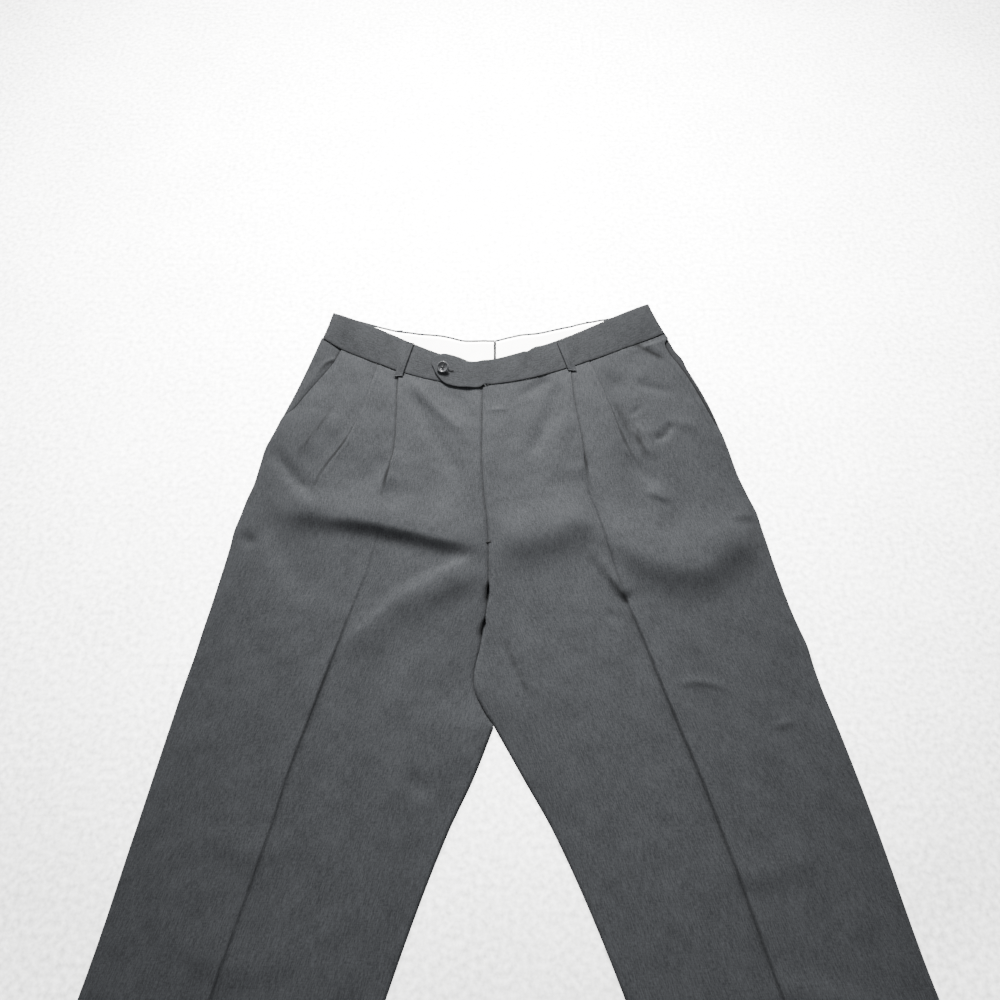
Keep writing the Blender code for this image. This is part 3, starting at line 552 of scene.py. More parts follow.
def front_height(side, level, across, along):
    """Height of a front's cloth with its folds and crease, but without pleats."""
    edge_gap = abs(across - front_edge(side, level))
    inner_gap = abs(across - section(side, "inner", level))
    lift = cloth_unrest(across, along) * smooth((TOP_LEVEL - level) / 24)
    for fold in FOLDS[side.name]:
        lift = lift + fold_lift(fold, across, along)
    fade = smooth(edge_gap / FOLD_OUTER_FADE) * smooth(inner_gap / FOLD_INNER_FADE)
    return base_height(side, level, across) + lift * fade + crease_lift(side, level, across)


# --- Meshes ------------------------------------------------------------------------------------


def add_mesh(name, points, faces, material, grain=None, painted_shade=None):
    mesh = bpy.data.meshes.new(name)
    mesh.from_pydata(points.tolist(), [], faces)
    mesh.materials.append(material)
    mesh.shade_smooth()
    if grain is not None:
        corners = np.array([loop.vertex_index for loop in mesh.loops])
        layer = mesh.uv_layers.new(name="grain")
        layer.data.foreach_set("uv", grain[corners].astype(np.float32).ravel())
    # painted shade: a point attribute that darkens the cloth's colour in folds, seams and pinches
    if painted_shade is not None:
        shade = mesh.attributes.new("painted_shade", "FLOAT", "POINT")
        shade.data.foreach_set("value", np.clip(painted_shade, 0, 1).astype(np.float32).ravel())
    piece = bpy.data.objects.new(name, mesh)
    bpy.context.scene.collection.objects.link(piece)
    return piece


def grid_faces(rows, columns, closed=False):
    """Quads over a grid of points; closed joins the last column to the first."""
    index = np.arange(rows * columns).reshape(rows, columns)
    if closed:
        index = np.hstack([index, index[:, :1]])
    corners = index[:-1, :-1], index[1:, :-1], index[1:, 1:], index[:-1, 1:]
    return np.stack(corners, axis=-1).reshape(-1, 4).tolist()


def add_cloth(name, points, grain, thickness, material, painted_shade=None):
    """A thin shell on a grid of cutting-frame points, with painted shade that darkens its colour where the
    cloth lies deep in a fold.
    """
    rows, columns = points.shape[:2]
    flat = to_frame(points).reshape(-1, 3)
    faces = grid_faces(rows, columns)
    piece = add_mesh(name, flat, faces, material, grain.reshape(-1, 2) * MM, painted_shade)
    shell = piece.modifiers.new("thickness", "SOLIDIFY")
    shell.thickness = thickness * MM
    shell.offset = 0.0
    return piece


def columns(start, stop, share):
    """Places across each row, from start to stop."""
    return start[:, None] + (stop - start)[:, None] * share


def turned(side, *grids):
    """The left side's grids run the other way across, so that both sides face up."""
    return grids if side.inward > 0 else tuple(grid[:, ::-1] for grid in grids)


def unit(vectors):
    return vectors / np.maximum(np.linalg.norm(vectors, axis=-1, keepdims=True), 1e-9)


def add_band(name, points, grain, thickness, material):
    """A flat band with rounded long edges; points (across its width, along it) are its middle."""
    widthways = unit(np.gradient(points, axis=0))
    normal = unit(np.cross(np.gradient(points, axis=1), widthways))
    half = thickness / 2
    middle = points.copy()
    middle[0] += widthways[0] * half
    middle[-1] -= widthways[-1] * half
    ring, ring_grain = list(middle + normal * half), list(grain)
    for degrees in (45, 90, 135):
        angle = math.radians(degrees)
        ring.append(middle[-1] + half * (widthways[-1] * math.sin(angle) + normal[-1] * math.cos(angle)))
        ring_grain.append(grain[-1])
    ring.extend((middle - normal * half)[::-1])
    ring_grain.extend(grain[::-1])
    for degrees in (45, 90, 135):
        angle = math.radians(degrees)
        ring.append(middle[0] - half * (widthways[0] * math.sin(angle) + normal[0] * math.cos(angle)))
        ring_grain.append(grain[0])
    tube = np.array(ring).transpose(1, 0, 2)
    stations, around = tube.shape[:2]
    faces = [face[::-1] for face in grid_faces(stations, around, closed=True)]
    last = (stations - 1) * around
    faces.append(list(range(around)))
    faces.append(list(range(last, last + around))[::-1])
    flat_grain = np.array(ring_grain).transpose(1, 0, 2).reshape(-1, 2)
    # painted shade over the whole band
    painted_shade = np.full(len(flat_grain), BAND_SHADE)
    return add_mesh(name, to_frame(tube).reshape(-1, 3), faces, material, flat_grain * MM, painted_shade)


# --- Fronts and backs --------------------------------------------------------------------------

ROW_STEP = 2.6
LOW_ROW_STEP = 7.0
OUTER_COLUMNS = 32
MIDDLE_COLUMNS = 26
INNER_COLUMNS = 40
EDGE_GATHER = 1.25         # columns stand closer together towards the outer edge
FLY_OVERLAP = 1.2          # the left front lies over the right one along the fly
FLY_LIFT = 0.55
FLY_TOP_REACH = 4.0
FLY_UNDER_REACH = 5.0
# Painted shade along the fly's line on the right front: its strength and its reach
FLY_SHADE = 0.8
FLY_LINE_REACH = 1.7
FLY_RUN_OUT = 14.0         # the overlap ends within this length, where the legs part
# The seat seam stands open in short slits below the fly: (level, half length, gape)
SLITS = [(293, 11.0, 2.3), (254, 10.0, 2.7)]
SLIT_SHARE = 0.7           # of the slits' gape that opens on the left front's side
SLIT_REACH = 2.5
# Painted shade on each front's first rows, under the waistband's seam
SEAM_SHADE = 0.1
SEAM_SHADE_ROWS = 2


def front_levels():
    upper = np.arange(TOP_LEVEL, TILT_START_LEVEL, -ROW_STEP)
    lower = np.arange(TILT_START_LEVEL, HEM_LEVEL, -LOW_ROW_STEP)
    return np.concatenate([upper, lower, [HEM_LEVEL]])


def pleat_lift(side, name, level):
    """How far the pleat's top layer stands over the outer cloth at each level."""
    pleat = PLEATS[(side.name, name)]
    seam = mix(PLEAT_PRESSED, 1.0, smooth((TOP_LEVEL - level) / PLEAT_SWELL))
    return pleat.lift * seam * smooth((level - pleat.end + pleat.fade) / pleat.fade)


def pleat_columns(side, name, level, place):
    """Places across, and shares of the lift, of the points that turn round a pleat."""
    pleat = PLEATS[(side.name, name)]
    folded = smooth((level - pleat.end) / PLEAT_OPENING)
    taper = np.clip((level - pleat.end) / (TOP_LEVEL - pleat.end), 0, 1) ** PLEAT_TAPER
    depth = mix(PLEAT_DEPTH_END, PLEAT_DEPTH, taper)
    across, share = [], []
    for step in PLEAT_STEPS:
        shut = depth * step.turn + step.folded
        across.append(place + side.inward * mix(step.opened, shut, folded))
        share.append(mix(smooth((step.opened + PLEAT_REACH) / (2 * PLEAT_REACH)), step.lift, folded))
    return np.stack(across, axis=1), np.stack(share, axis=1)


def pleat_shade(side, name, level):
    """How much painted shade darkens the root of a pleat at each level."""
    return curve(PLEAT_SHADE[(side.name, name)], level)


def fly_share(level):
    """Where the left front and leg overlap the right one: down to where the legs part."""
    return smooth((level - PARTING_LEVEL) / FLY_RUN_OUT)


def right_gape(level):
    """How far the slits in the seat seam draw the right front's edge back."""
    return sum(gape * np.exp(-((level - place) / reach) ** 4) for place, reach, gape in SLITS)


def front_inner(side, level):
    """The front's edge along the fly and the inseam."""
    if side.name == "right":
        over = SEAM_GAP + right_gape(level)
    else:
        over = right_gape(level) * SLIT_SHARE - FLY_OVERLAP * fly_share(level)
    return section(side, "inner", level) - side.inward * over


def fly_edge(side, level, gap):
    """What the fly's overlap and the slits add to a front's height, and the painted shade along them."""
    share = fly_share(level)[:, None]
    if side.name == "left":
        return FLY_LIFT * bell(gap, FLY_TOP_REACH) * share, 0 * gap
    # painted shade along the fly's line and in the slits
    line = FLY_SHADE * bell(gap - FLY_OVERLAP, FLY_LINE_REACH) * share
    line += right_gape(level)[:, None] * bell(gap, SLIT_REACH)
    return -FLY_LIFT * bell(gap, FLY_UNDER_REACH) * share, line


def front_points(side):
    """The grid of a front: rows from the waist to the hem, columns from the pocket inward."""
    level = front_levels()
    inner = front_inner(side, level)
    second = curve(SECOND_PLEAT[side.name], level)
    main = section(side, "crease", level)
    reach = side.inward * PLEAT_REACH
    outer_part = columns(front_edge(side, level), second - side.inward * PLEAT_CLEAR,
                         np.linspace(0, 1, OUTER_COLUMNS, endpoint=False) ** EDGE_GATHER)
    middle_part = columns(second + reach, main - reach, np.linspace(0, 1, MIDDLE_COLUMNS + 2)[1:-1])
    inner_part = columns(main + reach, inner, np.linspace(0, 1, INNER_COLUMNS + 1)[1:])
    second_part, second_share = pleat_columns(side, "second", level, second)
    main_part, main_share = pleat_columns(side, "main", level, main)
    across = np.hstack([outer_part, second_part, middle_part, main_part, inner_part])
    levels = np.repeat(level[:, None], across.shape[1], axis=1)
    along = section_along(side, levels, across, front_seam)
    height = front_height(side, levels, across, along)

    fly_rise, painted_shade = fly_edge(side, level, abs(across - inner[:, None]))
    first = OUTER_COLUMNS
    for name, place, share, beside, ease in (
        ("second", second, second_share, middle_part, np.minimum(PLEAT_EASE, abs(main - second)[:, None])),
        ("main", main, main_share, inner_part, PLEAT_EASE),
    ):
        after = first + len(PLEAT_STEPS)
        last = after + beside.shape[1]
        lift = pleat_lift(side, name, level)[:, None]
        height[:, first:after] += lift * share
        past = abs(beside - place[:, None]) / ease
        height[:, after:last] += lift * np.clip(1 - past, 0, 1) ** PLEAT_EASE_POWER
        # painted shade at each pleat's root
        depth = pleat_shade(side, name, level)[:, None]
        painted_shade[:, first:after] += depth * np.array([step.shade for step in PLEAT_STEPS])
        first = last
    height += fly_rise
    beside = (across - main[:, None]) * side.inward
    # painted shade at the crease's inner foot
    painted_shade += curve(CREASE_SHADE[side.name], level)[:, None] * bell(beside - CREASE_FOOT, CREASE_FOOT_REACH)
    # painted shade lines where the cloth is pinched
    for crease in PAINTED_SHADE_LINES[side.name]:
        painted_shade += fold_lift(crease, across, along)
    # painted shade along the waist seam
    painted_shade[:SEAM_SHADE_ROWS] += SEAM_SHADE

    for row, clear in enumerate(UNDER_BAND):
        height[row] = np.minimum(height[row], band_front_height(side, across[row], 0.0) - clear)
    points = np.stack([across, along, height], axis=-1)
    points[0, :, 1] += SEAM_TUCK
    points[0, :, 2] -= SEAM_SINK
    grain = np.stack([across - main[:, None], levels], axis=-1)
    return turned(side, points, grain, painted_shade)


def add_front(side, material):
    points, grain, painted_shade = front_points(side)
    return add_cloth("cloth_front_" + side.name, points, grain, CLOTH, material, painted_shade)


BACK_COLUMNS = 60
BACK_GRAIN = 700.0         # each piece is cut from its own place in the cloth, as are the next
FACING_GRAIN = 1500.0
BAND_GRAIN = 2300.0
FRONT_LOOP_GRAIN = 3100.0
BACK_LOOP_GRAIN = 4000.0
BACK_OVERLAP = 1.6         # the left back's inner edge lies over the right one below the fork
BACK_OUTER_STEP = 0.8      # the back shows this far past the front's edge
BACK_OVERLAP_START = 60.0  # above the fork's level
BACK_OVERLAP_RUN = 40.0
BACK_EDGE_LIFT = 0.9
BACK_EDGE_REACH = 4.0


def add_back(side, material):
    level = np.concatenate([np.arange(TOP_LEVEL, HEM_LEVEL, -2 * ROW_STEP), [HEM_LEVEL]])
    outer = section(side, "outer", level) - side.inward * BACK_OUTER_STEP
    share = smooth((level - FORK_LEVEL) / (TOP_LEVEL - FORK_LEVEL))
    below = smooth((FORK_LEVEL + BACK_OVERLAP_START - level) / BACK_OVERLAP_RUN) * fly_share(level)
    over = SEAM_GAP - (BACK_OVERLAP + SEAM_GAP) * below * (side.name == "left")
    inner = mix(section(side, "inner", level), CENTRE_BACK, share) - side.inward * over
    across = columns(outer, inner, np.linspace(0, 1, BACK_COLUMNS))
    levels = np.repeat(level[:, None], BACK_COLUMNS, axis=1)
    along = section_along(side, levels, across, back_seam)
    lift = sum(fold_lift(fold, across, along) for fold in BACK_FOLDS[side.name])
    outer_gap, inner_gap = abs(across - outer[:, None]), abs(across - inner[:, None])
    lift *= smooth(outer_gap / FOLD_OUTER_FADE) * smooth(inner_gap / FOLD_INNER_FADE)
    if side.name == "left":
        lift += BACK_EDGE_LIFT * bell(inner_gap, BACK_EDGE_REACH) * below[:, None]
    points = np.stack([across, along, BACK_HEIGHT + lift], axis=-1)
    points[0, :, 1] -= SEAM_GAP
    grain = np.stack([across - section(side, "crease", levels) + BACK_GRAIN, levels], axis=-1)
    return add_cloth("cloth_back_" + side.name, *turned(side, points, grain), CLOTH, material)


FACING_ROWS = 64
FACING_COLUMNS = 30
FACING_PUFF = 0.9
FACING_EDGE_REACH = 3.0    # the facing comes down to the back within this width
FACING_RISE = 0.7          # it rises this much to the waist, from the level below
FACING_RISE_START = 600.0
FACING_RISE_RUN = 40.0
FACING_TOP_HEIGHT = 2.4    # where it goes under the waistband
GAPE_CLEAR = 5.0
MOUTH_SHADE_LINE = 0.4           # from the front's edge to the line of painted shade in the pocket's mouth
MOUTH_SHADE_REACH = 2.0


def add_facing(side, material):
    """The cloth that shows in the slant pocket's mouth."""
    level = np.linspace(TOP_LEVEL, POCKETS[side.name].low + FACING_END, FACING_ROWS)
    outer, edge = section(side, "outer", level), front_edge(side, level)
    inner = edge + side.inward * FACING_UNDERLAP
    across = columns(outer, inner, np.linspace(0, 1, FACING_COLUMNS))
    levels = np.repeat(level[:, None], FACING_COLUMNS, axis=1)
    along = section_along(side, levels, across, front_seam)
    gap = abs(across - outer[:, None])
    to_edge = (edge[:, None] - across) * side.inward
    share = np.clip(gap / (abs(edge - outer)[:, None] + 1), 0, 1)
    height = FACING_HEIGHT + FACING_PUFF * np.sin(share * math.pi)
    height -= FACING_PUFF * (1 - smooth(gap / FACING_EDGE_REACH))
    height += FACING_RISE * smooth((levels - FACING_RISE_START) / FACING_RISE_RUN)
    height += fold_lift(FACING_FOLDS[side.name], across, along) * smooth(to_edge / GAPE_CLEAR)
    height[0] = np.minimum(height[0], FACING_TOP_HEIGHT)
    points = np.stack([across, along, height], axis=-1)
    points[0, :, 1] += SEAM_TUCK
    # painted shade: a dark line in the pocket's mouth, the facing darkened all over, and painted creases
    painted_shade = bell(to_edge - MOUTH_SHADE_LINE, MOUTH_SHADE_REACH) + FACING_SHADE[side.name] * (to_edge > -1)
    painted_shade += fold_lift(FACING_PAINTED_CREASES[side.name], across, along)
    grain = np.stack([across + FACING_GRAIN, levels], axis=-1)
    points, grain, painted_shade = turned(side, points, grain, painted_shade)
    return add_cloth("cloth_pocket_facing_" + side.name, points, grain, CLOTH, material, painted_shade)


# --- Waistband ---------------------------------------------------------------------------------

BAND_ROWS = 13
BAND_FRONT_STATIONS = 90
BAND_BACK_STATIONS = 90
BAND_PUFF = 0.35
BAND_WAVE = 0.25
BAND_TOP_WAVE = 0.35
DENT_PLACE = 35.0          # a soft dent across the left waistband, between the fly and its loop
DENT_DEPTH = 2.0
DENT_REACH = 3.6
DENT_START = 0.4           # it is full from this share of the band's width up
BUMP_PLACE = 45.0          # beside the dent the top edge stands up a little
BUMP_RISE = 1.6
BUMP_REACH = 6.0
TURN_STEP = 20             # degrees between the points round the band's side
TAB_GATHER = 1.7           # stations stand closer together at the tab's rounded end
TAB_COME_DOWN = 13.0       # the tab comes down to its own band within this width
BUCKLE_PLACE = -34.0
BUCKLE_REACH = 14.0
BUCKLE_WAVE = 4.6
LINING_ROWS = 9
LINING_PUFF = 0.3
LINING_CLEAR = 0.3


def seam_rise(side, across):
    """How far the pleats' layers lift the waistband at its seam."""
    main = section(side, "crease", TOP_LEVEL)
    second = curve(SECOND_PLEAT[side.name], TOP_LEVEL)
    rise = 0.0
    for name, place, ease in (("second", second, abs(main - second)), ("main", main, PLEAT_EASE)):
        past = (across - place) * side.inward
        lift = PLEATS[(side.name, name)].lift * PLEAT_PRESSED
        start = smooth((past + PLEAT_REACH) / (2 * PLEAT_REACH))
        rise = rise + lift * start * np.clip(1 - past / ease, 0, 1) ** PLEAT_EASE_POWER
    return rise


def band_front_height(side, across, share):
    """Middle of the waistband's front layer; share runs from its seam to its top edge."""
    seam = base_height(side, TOP_LEVEL, across) + BAND_LIFT + seam_rise(side, across)
    corner = mix(side.corner_low, side.corner_high, share)
    past = np.clip(abs(across - corner) / BAND_SIDE_REACH, 0, 1)
    folded = BAND_BACK_HEIGHT + 2 * BAND_TURN_RADIUS
    return mix(folded, mix(seam, BAND_OPEN_HEIGHT, share), 1 - (1 - past) ** 2)


def band_wander(side, across, share):
    """Small unevenness of the band's height and of its top edge."""
    height = BAND_WAVE * np.sin(across / 19) * np.sin(across / 47 + 1)
    along = BAND_TOP_WAVE * share * np.sin(across / 26 + 0.6)
    if side.name == "left":
        height = height - DENT_DEPTH * bell(across - DENT_PLACE, DENT_REACH) * smooth(share / DENT_START)
        along = along + share * BUMP_RISE * bell(across - BUMP_PLACE, BUMP_REACH)
    return height, along


def band_front_row(side, across, share):
    low, high = front_seam(side, across), front_top(side, across)
    height, along = band_wander(side, across, share)
    puff = BAND_PUFF * math.sin(math.pi * share)
    return np.stack([across, mix(low, high, share) + along,
                     band_front_height(side, across, share) + height + puff], axis=-1)


def back_loop_lift(across):
    lift = np.zeros_like(across)
    for middle in BACK_LOOPS.values():
        past = abs(across - middle) - BACK_LOOP_WIDTH / 2 - BACK_LOOP_MARGIN
        lift = np.maximum(lift, smooth(1 - past / BACK_LOOP_RAMP))
    return lift * BACK_LOOP_RISE


def back_wander(across):
    wander = 0.3 * np.sin(across / 9.1)
    for place, rise, reach in BACK_TOP_WANDER:
        wander = wander + rise * bell(across - place, reach)
    return wander


def band_back_places(side, share):
    start = mix(side.corner_low, side.corner_high, share) + side.inward * BAND_TURN_RADIUS
    end = CENTRE_BACK - side.inward * SEAM_GAP
    return np.linspace(start, end, BAND_BACK_STATIONS + 1)[1:]


def band_row(side, share, tab):
    """The waistband at one share of its width: along the front, round the side, along the back."""
    corner = mix(side.corner_low, side.corner_high, share)
    begin = TAB_LOW[-1][0] if len(tab) else CENTRE_FRONT - side.inward * 1.2
    across = np.linspace(begin, corner + side.inward * BAND_TURN_RADIUS, BAND_FRONT_STATIONS)
    if len(tab):
        across = across[1:]
    front = band_front_row(side, across, share)
    corner_along = mix(front_seam(side, corner), front_top(side, corner), share)
    turn = []
    for degrees in range(90, -91, -TURN_STEP):
        angle = math.radians(degrees)
        turn.append([
            corner + side.inward * BAND_TURN_RADIUS * (1 - math.cos(angle)),
            corner_along,
            BAND_BACK_HEIGHT + BAND_TURN_RADIUS * (1 + math.sin(angle)),
        ])
    across = band_back_places(side, share)
    along = mix(back_seam(side, across), back_top(side, across) + back_wander(across), share)
    back = np.stack([across, along, BAND_BACK_HEIGHT + back_loop_lift(across)], axis=-1)
    parts = [front, np.array(turn), back]
    if len(tab):
        parts.insert(0, tab)
    return np.vstack(parts)


def tab_row(share):
    """The extension past centre front, which lies on the right waistband."""
    left, right = SIDES["left"], SIDES["right"]
    places = np.linspace(0, 1, TAB_STATIONS) ** TAB_GATHER
    across = mix(TAB_LOW[0][0], TAB_LOW[-1][0], places)
    low, high = curve(TAB_LOW, across), curve(TAB_HIGH, across)
    along = mix(low, high, share)
    seam, top = front_seam(right, across), front_top(right, across)
    over = band_front_height(right, across, np.clip((along - seam) / (top - seam), 0, 1)) + TAB_LIFT
    own = band_front_height(left, across, share)
    height = mix(over, own, smooth((across - CENTRE_FRONT + 2) / TAB_COME_DOWN))
    wave = np.sin((across + 50) / BUCKLE_WAVE) * bell(across - BUCKLE_PLACE, BUCKLE_REACH)
    height += TAB_BUCKLE * wave * (1 - share / 2)
    return np.stack([across, along, height], axis=-1)


def add_waistband(side, material):
    rows = []
    for share in np.linspace(0, 1, BAND_ROWS):
        tab = tab_row(share) if side.name == "left" else np.zeros((0, 3))
        rows.append(band_row(side, share, tab))
    points = np.array(rows)
    steps = np.linalg.norm(np.diff(points, axis=1), axis=-1)
    length = np.hstack([np.zeros((BAND_ROWS, 1)), np.cumsum(steps, axis=1)])
    width = np.repeat(np.linspace(0, BAND_WIDTH, BAND_ROWS)[:, None], points.shape[1], axis=1)
    grain = np.stack([width + BAND_GRAIN, length], axis=-1)
    return add_band("cloth_waistband_" + side.name, *turned(side, points, grain), BAND_CLOTH, material)


def add_lining(side, material):
    """The white lining inside the back of the waistband."""
    across = band_back_places(side, 1.0)[4:]
    across[-1] = CENTRE_BACK - side.inward * CENTRE_BACK_GAP
    rows = []
    for share in np.linspace(0, 1, LINING_ROWS):
        low = back_seam(side, across) + 1
        high = back_top(side, across) + back_wander(across) - LINING_STEP_DOWN
        puff = LINING_PUFF * np.sin(across / 13) * math.sin(math.pi * share)
        height = BAND_CLOTH / 2 + BAND_BACK_HEIGHT + SEAM_GAP + LINING_CLOTH / 2 + LINING_CLEAR + puff
        rows.append(np.stack([across, mix(low, high, share), height + back_loop_lift(across)], axis=-1))
    points = np.array(rows)[::-1]
    points, grain = turned(side, points, points[:, :, :2].copy())
    return add_cloth("cloth_waistband_lining_" + side.name, points, grain, LINING_CLOTH, material)


# --- Belt loops --------------------------------------------------------------------------------

LOOP_ROWS = 7
LOOP_STATIONS = 30
LOOP_LENGTH = 50.0
LOOP_CROWN = 0.25
BACK_LOOP_ROWS = 5
BACK_LOOP_STATIONS = 12
BACK_LOOP_CLOTH = 0.9
BACK_LOOP_HEIGHT = 0.5


def add_front_loop(side, material):
    """A strip over the waistband, sewn down at its top edge and just below its seam."""
    loop = FRONT_LOOPS[side.name]
    share = np.linspace(0, 1, LOOP_STATIONS)
    rows = []
    for edge in np.linspace(-0.5, 0.5, LOOP_ROWS):
        across = mix(loop.top[0], loop.bottom[0], share) + edge * LOOP_WIDTH
        along = mix(loop.top[1], loop.bottom[1], share)
        seam, top = front_seam(side, across), front_top(side, across)
        band_share = np.clip((along - seam) / (top - seam), 0, 1)
        height = band_front_height(side, across, band_share)
        height += BAND_CLOTH / 2 + SEAM_GAP + LOOP_CLOTH / 2 + LOOP_OVER_PLEAT * share
        height += LOOP_STAND_OFF * np.abs(np.sin(math.pi * share)) ** 0.5
        height += LOOP_CROWN * math.cos(math.pi * edge)
        rows.append(np.stack([across, along, height], axis=-1))
    points = np.array(rows)
    length = np.repeat(share[None] * LOOP_LENGTH, LOOP_ROWS, axis=0)
    width = np.repeat(np.linspace(0, LOOP_WIDTH, LOOP_ROWS)[:, None], LOOP_STATIONS, axis=1)
    grain = np.stack([width + FRONT_LOOP_GRAIN, length], axis=-1)
    return add_band("cloth_front_loop_" + side.name, points, grain, LOOP_CLOTH, material)


def add_back_loop(place, material):
    middle = BACK_LOOPS[place]
    side = SIDES["left" if place == "left" else "right"]
    low = back_seam(side, middle) + BACK_LOOP_LOW
    high = back_top(side, middle) - 1
    along = np.linspace(high, low, BACK_LOOP_STATIONS)
    rows = []
    for edge in np.linspace(-0.5, 0.5, BACK_LOOP_ROWS):
        across = np.full(BACK_LOOP_STATIONS, middle + edge * BACK_LOOP_WIDTH)
        rows.append(np.stack([across, along, np.full(BACK_LOOP_STATIONS, BACK_LOOP_HEIGHT)], axis=-1))
    points = np.array(rows)
    grain = points[:, :, :2] + BACK_LOOP_GRAIN
    return add_band("cloth_back_loop_" + place, points, grain, BACK_LOOP_CLOTH, material)


# --- Button and stitches -----------------------------------------------------------------------

BUTTON_SIDES = 72
# The button's profile from the back's middle to the face's middle: (radius, height)
BUTTON_PROFILE = [
    (0.0, 0.0), (4.6, 0.0), (6.0, 0.15), (7.0, 0.6), (7.4, 1.2), (7.35, 1.75), (7.1, 2.3),
    (6.7, 2.55), (6.2, 2.6), (5.75, 2.45), (5.4, 2.1), (5.0, 1.8), (4.4, 1.65), (2.3, 1.6), (0.0, 1.6),
]
HOLE_RADIUS = 0.85
HOLE_PLACE = 1.75
HOLE_REACH = (-1.0, 4.0)   # the holes' cutters run from below the button to above it
THREAD_RADIUS = 0.32
THREAD_TOPS = {45: 2.1, 135: 2.35}   # the cross stitches: their turn in degrees and their height
SHANK = [(0, 0, 0.2), (0, 0, -0.8), (0.1, 0, -1.8), (0.1, 0.1, -2.8)]
SHANK_RADIUS = 1.3

# A row of stitches: its first stitch's two ends, the step to the next, how many, radius and rise
StitchRow = namedtuple("StitchRow", "start end step count radius rise")
BAR_TACK = StitchRow((-15.5, 353.4), (-9.5, 353.8), -0.8, 3, 0.45, 0.5)
BUTTONHOLE = StitchRow((-64.5, 581.85), (-57.5, 580.25), 1.5, 2, 0.32, 0.7)


def add_lathe(name, profile, sides, material):
    """A profile of (radius, height) turned about its own axis, in millimetres."""
    angle = np.linspace(0, 2 * math.pi, sides, endpoint=False)
    rings = [(np.cos(angle) * r, np.sin(angle) * r, np.full(sides, h)) for r, h in profile[1:-1]]
    points = np.array(rings).transpose(0, 2, 1).reshape(-1, 3)
    count = len(rings)
    faces = grid_faces(count, sides, closed=True)
    faces = [face[::-1] for face in faces]
    ends = len(points)
    points = np.vstack([points, [[0, 0, profile[0][1]], [0, 0, profile[-1][1]]]])
    last = (count - 1) * sides
    for step in range(sides):
        after = (step + 1) % sides
        faces.append([ends, after, step])
        faces.append([ends + 1, last + step, last + after])
    return add_mesh(name, points * MM, faces, material)


def add_tube(name, route, radius, material, sides=8):
    """A thread along a route of points, in millimetres."""
    line = np.array(route, float)
    run = unit(np.gradient(line, axis=0))
    upright = np.array([0.0, 0.0, 1.0])
    if abs(run[:, 2]).max() > 0.95:
        upright = np.array([0.3, 0.9, 0.2])
    across = unit(np.cross(run, upright))
    lift = np.cross(across, run)
    angle = np.linspace(0, 2 * math.pi, sides, endpoint=False)[None, :, None]
    rings = line[:, None] + radius * (np.cos(angle) * across[:, None] + np.sin(angle) * lift[:, None])
    faces = grid_faces(len(line), sides, closed=True)
    last = (len(line) - 1) * sides
    faces.append(list(range(sides))[::-1])
    faces.append(list(range(last, last + sides)))
    return add_mesh(name, rings.reshape(-1, 3) * MM, faces, material)


def join(name, pieces):
    """Joins pieces into the first one."""
    with bpy.context.temp_override(
        active_object=pieces[0], object=pieces[0], selected_objects=pieces,
        selected_editable_objects=pieces,
    ):
        bpy.ops.object.join()
    pieces[0].name = name
    return pieces[0]


def add_button(material, thread):
    low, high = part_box("fly_button")
    button = add_lathe("button_waist", BUTTON_PROFILE, BUTTON_SIDES, material)
    cutters = []
    for corner in range(4):
        angle = math.radians(45 + 90 * corner)
        centre = HOLE_PLACE * math.cos(angle), HOLE_PLACE * math.sin(angle)
        low_end, high_end = HOLE_REACH
        hole = [(0.0, low_end), (HOLE_RADIUS, low_end), (HOLE_RADIUS, high_end), (0.0, high_end)]
        cutter = add_lathe("hole_cutter_%d" % corner, hole, 20, material)
        cutter.location = centre[0] * MM, centre[1] * MM, 0
        cut = button.modifiers.new("hole_%d" % corner, "BOOLEAN")
        cut.object = cutter
        cut.solver = "EXACT"
        cutters.append(cutter)
    apply_modifiers(button)
    for cutter in cutters:
        bpy.data.objects.remove(cutter, do_unlink=True)
    button.data.shade_smooth()
    stitches = []
    for turn, top in THREAD_TOPS.items():
        angle = math.radians(turn)
        route = []
        for share in np.linspace(-1, 1, 13):
            height = top - 1.1 * abs(share) ** 5 - 0.5 * abs(share) ** 2
            reach = share * HOLE_PLACE
            route.append([reach * math.cos(angle), reach * math.sin(angle), height])
        stitches.append(add_tube("stitch_%d" % turn, route, THREAD_RADIUS, thread))
    stitches.append(add_tube("shank", SHANK, SHANK_RADIUS, thread, sides=12))
    sewing = join("button_thread", stitches)
    for piece in (button, sewing):
        piece.rotation_euler = [math.radians(turn) for turn in (*BUTTON_TILT, 0.0)]
    bpy.context.view_layer.update()
    corners = np.array([button.matrix_world @ vertex.co for vertex in button.data.vertices])
    middle = (corners.min(axis=0) + corners.max(axis=0)) / 2
    for piece in (button, sewing):
        piece.location = (np.array(low) + np.array(high)) / 2 - middle + BUTTON_SHIFT * MM
    return button, sewing


def surface_height(piece, across, along):
    """Height of a piece's cloth near a cutting-frame place, in millimetres."""
    points = np.array([vertex.co for vertex in piece.data.vertices]) / MM
    gap = np.hypot(points[:, 0] + ORIGIN[0] - across, points[:, 1] + ORIGIN[1] - along)
    return points[gap < gap.min() + 1.0, 2].max()


def add_stitch(name, piece, start, end, row, thread):
    """A short raised stitch on a piece, from one cutting-frame place to another."""
    route = []
    for share in np.linspace(0, 1, 7):
        place = mix(np.array(start, float), np.array(end, float), share)
        rise = row.rise * math.sin(math.pi * share) ** 0.4
        route.append([*(place - ORIGIN), surface_height(piece, *place) + rise])
    return add_tube(name, route, row.radius, thread)


